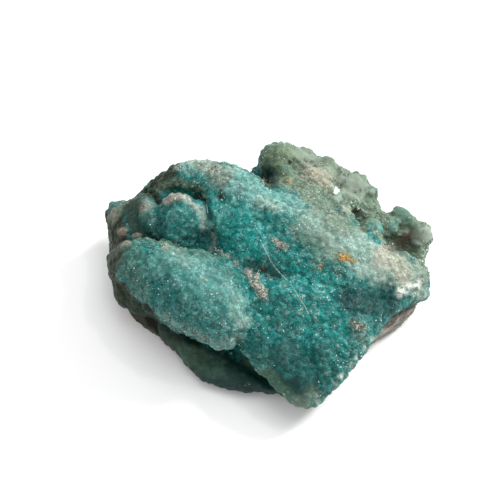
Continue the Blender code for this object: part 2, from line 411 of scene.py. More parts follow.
class NodeBuilder:
    """Adds nodes to a tree and joins them."""

    def __init__(self, tree: Tree) -> None:
        """Keeps the tree."""
        self.tree = tree

    def add(self, kind: str, **settings: object) -> Node:
        """Adds a node.

        Args:
            kind: The node's type name without its ShaderNode prefix.
            settings: Properties of the node to set.

        Returns:
            The node.
        """
        node = self.tree.nodes.new(f"ShaderNode{kind}")
        for name, value in settings.items():
            setattr(node, name, value)
        return node

    def feed(self, socket: Socket, value: Value) -> None:
        """Sets a socket to a constant, or joins it to an output.

        Args:
            socket: The input.
            value: Another node's output, a number or a linear colour.
        """
        if isinstance(value, Socket):
            self.tree.links.new(value, socket)
        elif isinstance(value, tuple) and socket.type == "RGBA":
            socket.default_value = (*value, 1.0)
        else:
            socket.default_value = value

    def math(
        self, operation: str, first: Value, second: Value = 0.0, clamp: bool = False
    ) -> Socket:
        """Adds a Math node.

        Args:
            operation: What it works out.
            first: Its first value.
            second: Its second value.
            clamp: Whether the result is kept between 0 and 1.

        Returns:
            Its output.
        """
        node = self.add("Math", operation=operation, use_clamp=clamp)
        self.feed(node.inputs[0], first)
        self.feed(node.inputs[1], second)
        return node.outputs[0]

    def mix(self, factor: Value, first: Value, second: Value, blend: str = "MIX") -> Socket:
        """Adds a Mix node for colours.

        Args:
            factor: The second colour's share.
            first: The first colour.
            second: The second colour.
            blend: How they are mixed.

        Returns:
            Its output.
        """
        node = self.add("Mix", data_type="RGBA", blend_type=blend)
        self.feed(node.inputs["Factor"], factor)
        self.feed(node.inputs[MIX_FIRST], first)
        self.feed(node.inputs[MIX_SECOND], second)
        return node.outputs[MIX_RESULT]

    def span(
        self, value: Value, low: float, high: float, to_low: float = 0.0, to_high: float = 1.0
    ) -> Socket:
        """Adds a Map Range node that eases in and out.

        Args:
            value: What is mapped.
            low: Where the range starts.
            high: Where it ends.
            to_low: The result at the start and below it.
            to_high: The result at the end and above it.

        Returns:
            Its output.
        """
        node = self.add("MapRange", interpolation_type="SMOOTHSTEP")
        self.feed(node.inputs[0], value)
        for index, limit in enumerate((low, high, to_low, to_high), start=1):
            node.inputs[index].default_value = limit
        return node.outputs[0]

    def lightness(self, colour: Value, full: float = 0.25, least: float = 0.15) -> Socket:
        """Measures how light a colour is.

        Args:
            colour: The colour.
            full: The grey that counts as fully light.
            least: The result for black.

        Returns:
            The output, which rises from the least to 1.
        """
        grey = self.add("RGBToBW")
        self.feed(grey.inputs[0], colour)
        return self.span(grey.outputs[0], 0.0, full, least)

    def noise(
        self, place: Socket, scale: Value, detail: float = 3.0, roughness: float = 0.55
    ) -> Socket:
        """Adds a Noise node.

        Args:
            place: The coordinates it is worked out at.
            scale: How many cycles it has in a metre.
            detail: How many finer layers it has.
            roughness: How strong the finer layers are.

        Returns:
            Its value output.
        """
        node = self.add("TexNoise")
        self.feed(node.inputs["Vector"], place)
        self.feed(node.inputs["Scale"], scale)
        node.inputs["Detail"].default_value = detail
        node.inputs["Roughness"].default_value = roughness
        return node.outputs["Fac"]


def new_group(
    name: str, inputs: dict[str, float], outputs: tuple[str, ...]
) -> tuple[Tree, NodeBuilder, Node, Node]:
    """Starts a shader node group, whose sockets all hold one number.

    Args:
        name: The group's name.
        inputs: Each input's default value, by name.
        outputs: The outputs' names.

    Returns:
        The group, its builder, its input node and its output node.
    """
    group = bpy.data.node_groups.new(name, "ShaderNodeTree")
    for label, default in inputs.items():
        socket = group.interface.new_socket(label, in_out="INPUT", socket_type="NodeSocketFloat")
        socket.default_value = default
    for label in outputs:
        group.interface.new_socket(label, in_out="OUTPUT", socket_type="NodeSocketFloat")
    entry = group.nodes.new("NodeGroupInput")
    leave = group.nodes.new("NodeGroupOutput")
    return group, NodeBuilder(group), entry, leave


def make_mottle() -> Tree:
    """Builds the clouds of growth: darker and lighter patches, and a pale haze on some.

    Returns:
        A group that takes Coarse and Fine scales and a Strength, and puts out a Shade factor and
        a Haze mask.
    """
    group, build, entry, leave = new_group(
        "growth_mottle", {"Coarse": 260.0, "Fine": 1500.0, "Strength": 0.5}, ("Shade", "Haze")
    )
    place = build.add("TexCoord").outputs["Object"]
    clouds = [
        build.math("SUBTRACT", build.noise(place, entry.outputs[label], 4.0, 0.5), 0.5)
        for label in ("Coarse", "Fine")
    ]
    cloud = build.math("ADD", *clouds)
    swing = build.math("MULTIPLY", cloud, entry.outputs["Strength"])
    build.feed(leave.inputs["Shade"], build.math("ADD", swing, 1.0))
    patches = build.add("TexVoronoi", feature="SMOOTH_F1")
    for label, value in (("Vector", place), ("Scale", 620.0), ("Smoothness", 0.6)):
        build.feed(patches.inputs[label], value)
    rims = build.span(patches.outputs["Distance"], low=0.28, high=0.62)
    hazy = build.span(cloud, low=-0.12, high=0.16)
    build.feed(leave.inputs["Haze"], build.math("MULTIPLY", rims, hazy))
    return group


def make_grain() -> Tree:
    """Builds the sugary grain: small pointed cells that catch the light one by one.

    Returns:
        A group that takes a Scale and the Share of cells that are pale, and puts out a Height, a
        random value for each Cell and a mask of the Pale cells, faded towards their edges.
    """
    group, build, entry, leave = new_group(
        "sugar_grain", {"Scale": 2600.0, "Share": 0.15}, ("Height", "Cell", "Pale")
    )
    place = build.add("TexCoord").outputs["Object"]
    cells = build.add("TexVoronoi", feature="F1")
    build.feed(cells.inputs["Vector"], place)
    build.feed(cells.inputs["Scale"], entry.outputs["Scale"])
    luck = build.add("SeparateColor")
    build.feed(luck.inputs["Color"], cells.outputs["Color"])
    peak = build.math("SUBTRACT", 1.0, cells.outputs["Distance"])
    build.feed(leave.inputs["Height"], peak)
    build.feed(leave.inputs["Cell"], luck.outputs["Red"])
    chosen = build.math("LESS_THAN", luck.outputs["Green"], entry.outputs["Share"])
    middle = build.span(peak, low=0.35, high=0.75)
    build.feed(leave.inputs["Pale"], build.math("MULTIPLY", chosen, middle))
    return group


@dataclass(frozen=True)
class GrowthGroups:
    """The node groups that the finishes share.

    Attributes:
        mottle: The clouds of growth.
        grain: The sugary grain.
    """

    mottle: Tree
    grain: Tree


def place_group(build: NodeBuilder, group: Tree, **values: Value) -> Node:
    """Places a group in a material and sets its inputs.

    Args:
        build: The material's builder.
        group: The node group.
        values: The group's inputs by name.

    Returns:
        The group's node.
    """
    node = build.add("Group")
    node.node_tree = group
    for name, value in values.items():
        build.feed(node.inputs[name], value)
    return node


def new_material(name: str) -> tuple[Material, NodeBuilder, Node]:
    """Starts a material.

    Args:
        name: The material's name.

    Returns:
        The material, its builder and its Principled BSDF.
    """
    material = bpy.data.materials.new(name)
    material.use_nodes = True
    shader = material.node_tree.nodes["Principled BSDF"]
    return material, NodeBuilder(material.node_tree), shader


def shaded(build: NodeBuilder, colour: Value, shade: Value) -> Socket:
    """Multiplies a colour by a factor.

    Args:
        build: The material's builder.
        colour: The colour.
        shade: The factor: below 1 darkens, above 1 lightens.

    Returns:
        The output of the new colour.
    """
    factors = build.add("CombineXYZ")
    for socket in factors.inputs:
        build.feed(socket, shade)
    return build.mix(1.0, colour, factors.outputs[0], "MULTIPLY")


def add_relief(
    build: NodeBuilder, shader: Node, height: Socket, depth: float, strength: float = 0.9
) -> None:
    """Gives a material its fine relief.

    Args:
        build: The material's builder.
        shader: Its Principled BSDF.
        height: The relief's height, in depths.
        depth: The relief's depth, m.
        strength: How strongly it shows.
    """
    bump = build.add("Bump")
    bump.inputs["Strength"].default_value = strength
    bump.inputs["Distance"].default_value = depth
    build.feed(bump.inputs["Height"], height)
    build.feed(shader.inputs["Normal"], bump.outputs["Normal"])


@dataclass(frozen=True)
class CrustFinish:
    """The solid hemimorphite: saturated, glowing a little, with hazy patches, pale grains and
    painted glints.

    Attributes:
        roughness: The smoothest and the roughest grain.
        smooth_roughness: The roughness where the crust is bare.
        grain_scale: The sugary grains' cycles in a metre.
        fine_scale: The same for the finer grains between them.
        grain_depth: The relief's depth, m.
        grain_height: The grains' height, as a share of the finer ones'.
        grain_swing: How much darker or lighter than the crust a fine grain is.
        pale_share: The share of grains that are pale.
        fine_share: The share of finer grains that are lightened as painted glints.
        dulled: The saturation of pale grains and haze.
        dulled_lift: Their brightness.
        haze: How strong the haze is.
        bright: How strong the painted glints on the finer grains are.
        painted_glint_gain: How much lighter than the crust they are painted.
        painted_glint_lift: The pale colour added to them, as painted highlight.
        frosting: How white full frost is.
        glow: How much of the light is scattered below the surface.
        glow_reach: How far each of its colours goes, in depths.
        glow_depth: How deep it goes, m.
        gloss: The strength of the mirror-like reflection.
    """

    roughness: Limits = (0.22, 0.6)
    smooth_roughness: float = 0.5
    grain_scale: float = 1150.0
    fine_scale: float = 3200.0
    grain_depth: float = 0.00014
    grain_height: float = 1.1
    grain_swing: float = 0.32
    pale_share: float = 0.24
    fine_share: float = 0.12
    dulled: float = 0.6
    dulled_lift: float = 1.35
    haze: float = 0.4
    bright: float = 0.45
    painted_glint_gain: float = 1.6
    painted_glint_lift: Colour = (0.24, 0.30, 0.28)
    frosting: float = 0.6
    glow: float = 0.75
    glow_reach: Triple = (0.5, 0.9, 0.9)
    glow_depth: float = 0.0007
    gloss: float = 0.1

    def make(self, groups: GrowthGroups) -> Material:
        """Builds the material.

        Args:
            groups: The shared node groups.

        Returns:
            The material.
        """
        material, build, shader = new_material("hemimorphite_crust")
        mottle = place_group(build, groups.mottle, Coarse=230.0, Fine=1300.0, Strength=0.35)
        grain = place_group(build, groups.grain, Scale=self.grain_scale, Share=self.pale_share)
        fine = place_group(build, groups.grain, Scale=self.fine_scale, Share=self.fine_share)
        cover = build.add("Attribute", attribute_name="cover").outputs["Fac"]
        build.feed(shader.inputs["Base Color"], self.colour(build, mottle, grain, fine, cover))
        swing = build.span(fine.outputs["Cell"], 0.0, 1.0, *self.roughness)
        swing = build.math("MULTIPLY", build.math("SUBTRACT", swing, self.smooth_roughness), cover)
        build.feed(shader.inputs["Roughness"], build.math("ADD", swing, self.smooth_roughness))
        height = build.math("MULTIPLY", grain.outputs["Height"], self.grain_height)
        height = build.math("ADD", fine.outputs["Height"], height)
        add_relief(build, shader, build.math("MULTIPLY", height, cover), self.grain_depth)
        shader.inputs["Subsurface Weight"].default_value = self.glow
        shader.inputs["Subsurface Radius"].default_value = self.glow_reach
        shader.inputs["Subsurface Scale"].default_value = self.glow_depth
        shader.inputs["Specular IOR Level"].default_value = self.gloss
        return material

    def colour(
        self, build: NodeBuilder, mottle: Node, grain: Node, fine: Node, cover: Socket
    ) -> Socket:
        """Varies the crust's tint: mottled, then grain by grain with painted glints, then frosted.

        Args:
            build: The material's builder.
            mottle: The clouds of growth.
            grain: The sugary grains.
            fine: The finer grains.
            cover: How thickly the crust is overgrown.

        Returns:
            The output of the colour.
        """
        tint = build.add("Attribute", attribute_name="tint")
        colour = shaded(build, tint.outputs["Color"], mottle.outputs["Shade"])
        swing = build.span(fine.outputs["Cell"], 0.0, 1.0, -self.grain_swing, self.grain_swing)
        swing = build.math("MULTIPLY", swing, cover)
        colour = shaded(build, colour, build.math("ADD", swing, 1.0))
        dull = build.add("HueSaturation")
        build.feed(dull.inputs["Color"], colour)
        dull.inputs["Saturation"].default_value = self.dulled
        dull.inputs["Value"].default_value = self.dulled_lift
        hazy = build.math("MULTIPLY", mottle.outputs["Haze"], self.haze)
        pale = build.math("MULTIPLY", build.math("MAXIMUM", grain.outputs["Pale"], hazy), cover)
        colour = build.mix(pale, colour, dull.outputs["Color"])
        # Some finer grains are lightened, more on light crust: partly pale grains, partly painted
        # glints.
        glint = build.math("MULTIPLY", fine.outputs["Pale"], self.bright)
        lift = shaded(build, self.painted_glint_lift, build.lightness(colour))
        brighter = build.mix(1.0, shaded(build, colour, self.painted_glint_gain), lift, "ADD")
        colour = build.mix(build.math("MULTIPLY", glint, cover), colour, brighter)
        frosted = build.math("MULTIPLY", tint.outputs["Alpha"], self.frosting)
        return build.mix(frosted, colour, Hue.WHITE.value)


@dataclass(frozen=True)
class DruseFinish:
    """The crystals: clear or milky, each its own shade, with bright small faces.

    Attributes:
        name: The material's name.
        clear: How much light goes through.
        body: How much of the crust's tint they have.
        pale_from: The share of crystals that are not clouded.
        pale: How milky the milkiest is.
        shades: The darkest and the lightest crystal's factor.
        roughness: The smoothest and the roughest crystal.
        luck: How much rarer rough crystals are than smooth ones.
        haze: How strong the haze is.
        bend: The index of refraction.
        water: The colour of a crystal without tint.
        milk: The milky colour, near-white on the sparks, where it is a painted highlight.
    """

    name: str
    clear: float
    body: float
    pale_from: float = 0.7
    pale: float = 0.35
    shades: Limits = (0.86, 1.16)
    roughness: Limits = (0.12, 0.45)
    luck: float = 2.0
    haze: float = 0.3
    bend: float = 1.42
    water: Colour = (0.80, 0.92, 0.90)
    milk: Colour = (0.34, 0.44, 0.40)

    def make(self, groups: GrowthGroups) -> Material:
        """Builds the material.

        Args:
            groups: The shared node groups.

        Returns:
            The material.
        """
        material, build, shader = new_material(self.name)
        tint = build.add("Attribute", attribute_name="tint")
        each = build.add("NewGeometry").outputs["Random Per Island"]
        mottle = place_group(build, groups.mottle, Coarse=240.0, Fine=1500.0, Strength=0.8)
        shade = build.span(each, 0.0, 1.0, *self.shades)
        shade = build.math("MULTIPLY", shade, mottle.outputs["Shade"])
        colour = shaded(build, tint.outputs["Color"], shade)
        colour = build.mix(self.body, self.water, colour)
        milky = build.span(each, self.pale_from, 1.0, to_high=self.pale)
        hazy = build.math("MULTIPLY", mottle.outputs["Haze"], self.haze)
        milky = build.math("MAXIMUM", milky, build.math("MAXIMUM", hazy, tint.outputs["Alpha"]))
        build.feed(shader.inputs["Base Color"], build.mix(milky, colour, self.milk))
        rough = build.math("POWER", each, self.luck)
        build.feed(shader.inputs["Roughness"], build.span(rough, 0.0, 1.0, *self.roughness))
        shader.inputs["Transmission Weight"].default_value = self.clear
        shader.inputs["IOR"].default_value = self.bend
        return material


@dataclass(frozen=True)
class RockFinish:
    """The matrix: dull grey-brown broken rock with thin bedding and rusty stains.

    Attributes:
        light: The colour of the pale beds.
        dark: The colour of the dark beds.
        stain: The colour of the stains.
        stained: How strong they are.
        bed_turn: How the beds lie, as turns about the three axes.
        bed_thinness: How much finer the beds are than they are long and wide.
        roughness: The dark beds' and the pale beds'.
        grain_height: The grains' height, as a share of the beds'.
        relief: The relief's depth, m.
    """

    light: Colour = (0.34, 0.33, 0.295)
    dark: Colour = (0.085, 0.080, 0.066)
    stain: Colour = (0.125, 0.108, 0.075)
    stained: float = 0.6
    bed_turn: Triple = (0.35, -0.22, 0.6)
    bed_thinness: float = 6.0
    roughness: Limits = (0.92, 0.7)
    grain_height: float = 0.4
    relief: float = 0.0002

    def make(self, groups: GrowthGroups) -> Material:
        """Builds the material.

        Args:
            groups: The shared node groups.

        Returns:
            The material.
        """
        material, build, shader = new_material("matrix_rock")
        place = build.add("TexCoord").outputs["Object"]
        turned = build.add("Mapping")
        build.feed(turned.inputs["Vector"], place)
        turned.inputs["Rotation"].default_value = self.bed_turn
        turned.inputs["Scale"].default_value = (1.0, 1.0, self.bed_thinness)
        beds = build.noise(turned.outputs["Vector"], scale=260.0, detail=6.0, roughness=0.65)
        grain = place_group(build, groups.grain, Scale=3000.0, Share=0.0)
        mottle = place_group(build, groups.mottle, Coarse=320.0, Fine=2200.0, Strength=0.8)
        bands = build.span(beds, low=0.36, high=0.64)
        colour = build.mix(bands, self.dark, self.light)
        stain = build.span(
            build.noise(place, scale=190.0), low=0.50, high=0.72, to_high=self.stained
        )
        colour = build.mix(stain, colour, self.stain)
        colour = shaded(build, colour, mottle.outputs["Shade"])
        tint = build.add("Attribute", attribute_name="tint").outputs["Color"]
        build.feed(shader.inputs["Base Color"], build.mix(1.0, colour, tint, "MULTIPLY"))
        build.feed(shader.inputs["Roughness"], build.span(bands, 0.0, 1.0, *self.roughness))
        grains = build.math("MULTIPLY", grain.outputs["Height"], self.grain_height)
        add_relief(build, shader, build.math("ADD", beds, grains), self.relief)
        return material


@dataclass(frozen=True)
class DirtAndGlintFinish:
    """Loose or grown-on mineral dirt, and near-white grains that are painted highlights, mottled
    grain by grain.

    Attributes:
        name: The material's name.
        base: The first colour.
        other: The second colour, which grains have in different shares.
        roughness: The roughest spot's.
        sheen: How much smoother the smoothest spot is.
        speckle: How much a grain varies in itself.
        balance: The second colour's share overall.
    """

    name: str
    base: Colour
    other: Colour
    roughness: float = 0.85
    sheen: float = 0.15
    speckle: float = 0.4
    balance: float = 0.72

    def make(self, groups: GrowthGroups) -> Material:
        """Builds the material.

        Args:
            groups: The shared node groups.

        Returns:
            The material.
        """
        material, build, shader = new_material(self.name)
        each = build.add("NewGeometry").outputs["Random Per Island"]
        grain = place_group(build, groups.grain, Scale=6000.0, Share=0.0)
        speckle = build.math("MULTIPLY", grain.outputs["Cell"], self.speckle)
        choice = build.math("ADD", each, speckle)
        choice = build.math("MULTIPLY", choice, self.balance, clamp=True)
        build.feed(shader.inputs["Base Color"], build.mix(choice, self.base, self.other))
        limits = (self.roughness - self.sheen, self.roughness)
        rough = build.span(grain.outputs["Cell"], 0.0, 1.0, *limits)
        build.feed(shader.inputs["Roughness"], rough)
        return material


# ---------------------------------------------------------------------------------------------
# Zones: where the crust changes colour, takes painted shade and highlights, frosts over, grows in
# beads or stays bare
# ---------------------------------------------------------------------------------------------

# How far a zone's rim wanders, as a share of its radius, and the least reach it keeps, mm.
RIM_WANDER = 0.45
LEAST_REACH = 0.05


@dataclass(frozen=True)
class Zone:
    """A patch or streak of the crust, along one or more cells of the survey grid.

    Attributes:
        name: What it is.
        cells: The cells it runs along.
        radius: How far it reaches from them, mm.
        hue: Its colour, where it has one.
        weight: How strong the colour is.
        frost: How frosted it is.
        bare: How bare of sugary grains it is.
        swell: How far it swells, mm.
        coarse: The chance of clear blades on it.
        edge: How far in from its rim it reaches its full strength, as a share of the radius.
        ring: How strong its pale ring is.
    """

    name: str
    cells: tuple[Cell, ...]
    radius: float
    hue: Hue | None = None
    weight: float = 0.8
    frost: float = 0.0
    bare: float = 0.0
    swell: float = 0.0
    coarse: float = 0.0
    edge: float = 0.6
    ring: float = 0.0

    def spine(self, sight: Sight, surface: Surface) -> np.ndarray:
        """The zone's line on the crust, in mm, one row per cell that lands on it."""
        found = (sight.on(surface, cell) for cell in self.cells)
        return np.array([tuple(place[0]) for place in found if place is not None])

    def nearness(self, points: np.ndarray, spine: np.ndarray, ripple: np.ndarray) -> np.ndarray:
        """Measures how far inside the zone points are.

        Args:
            points: One row per point, mm.
            spine: The zone's line.
            ripple: Noise that makes the edge uneven, one value per point.

        Returns:
            1 on the line, 0 at the zone's rim and outside, one value per point.
        """
        nearest = np.full(len(points), np.inf)
        ends = spine[1:] if len(spine) > 1 else spine
        for start, end in zip(spine, ends):
            run = end - start
            square = max(float(run @ run), TINY)
            along = np.clip((points - start) @ run / square, 0.0, 1.0)
            gap = np.linalg.norm(points - start - along[:, None] * run, axis=1)
            nearest = np.minimum(nearest, gap)
        reach = self.radius * (1.0 + RIM_WANDER * ripple)
        return np.clip(1.0 - nearest / np.maximum(reach, LEAST_REACH), 0.0, 1.0)

    def mask(self, nearness: np.ndarray) -> np.ndarray:
        """Turns nearness into a soft-edged mask."""
        inside = np.clip(nearness / self.edge, 0.0, 1.0)
        return inside * inside * (3.0 - 2.0 * inside)


def mounds(name: str, cells: tuple[Cell, ...], radius: float, **look: object) -> tuple[Zone, ...]:
    """Makes one round zone for each cell of a row."""
    return tuple(Zone(f"{name}_{n}", (cell,), radius, **look) for n, cell in enumerate(cells))


# Where round bubbles stand out one by one on the finger and the left end.
BUBBLES = (
    (157, 234), (133, 263), (146, 271), (158, 275), (167, 261), (173, 278), (168, 290), (177, 286),
    (182, 297), (187, 305), (196, 309), (207, 314), (199, 329), (214, 332), (224, 336), (152, 262),
    (161, 298), (150, 288), (232, 326), (239, 318), (192, 318), (218, 300), (205, 296),
)

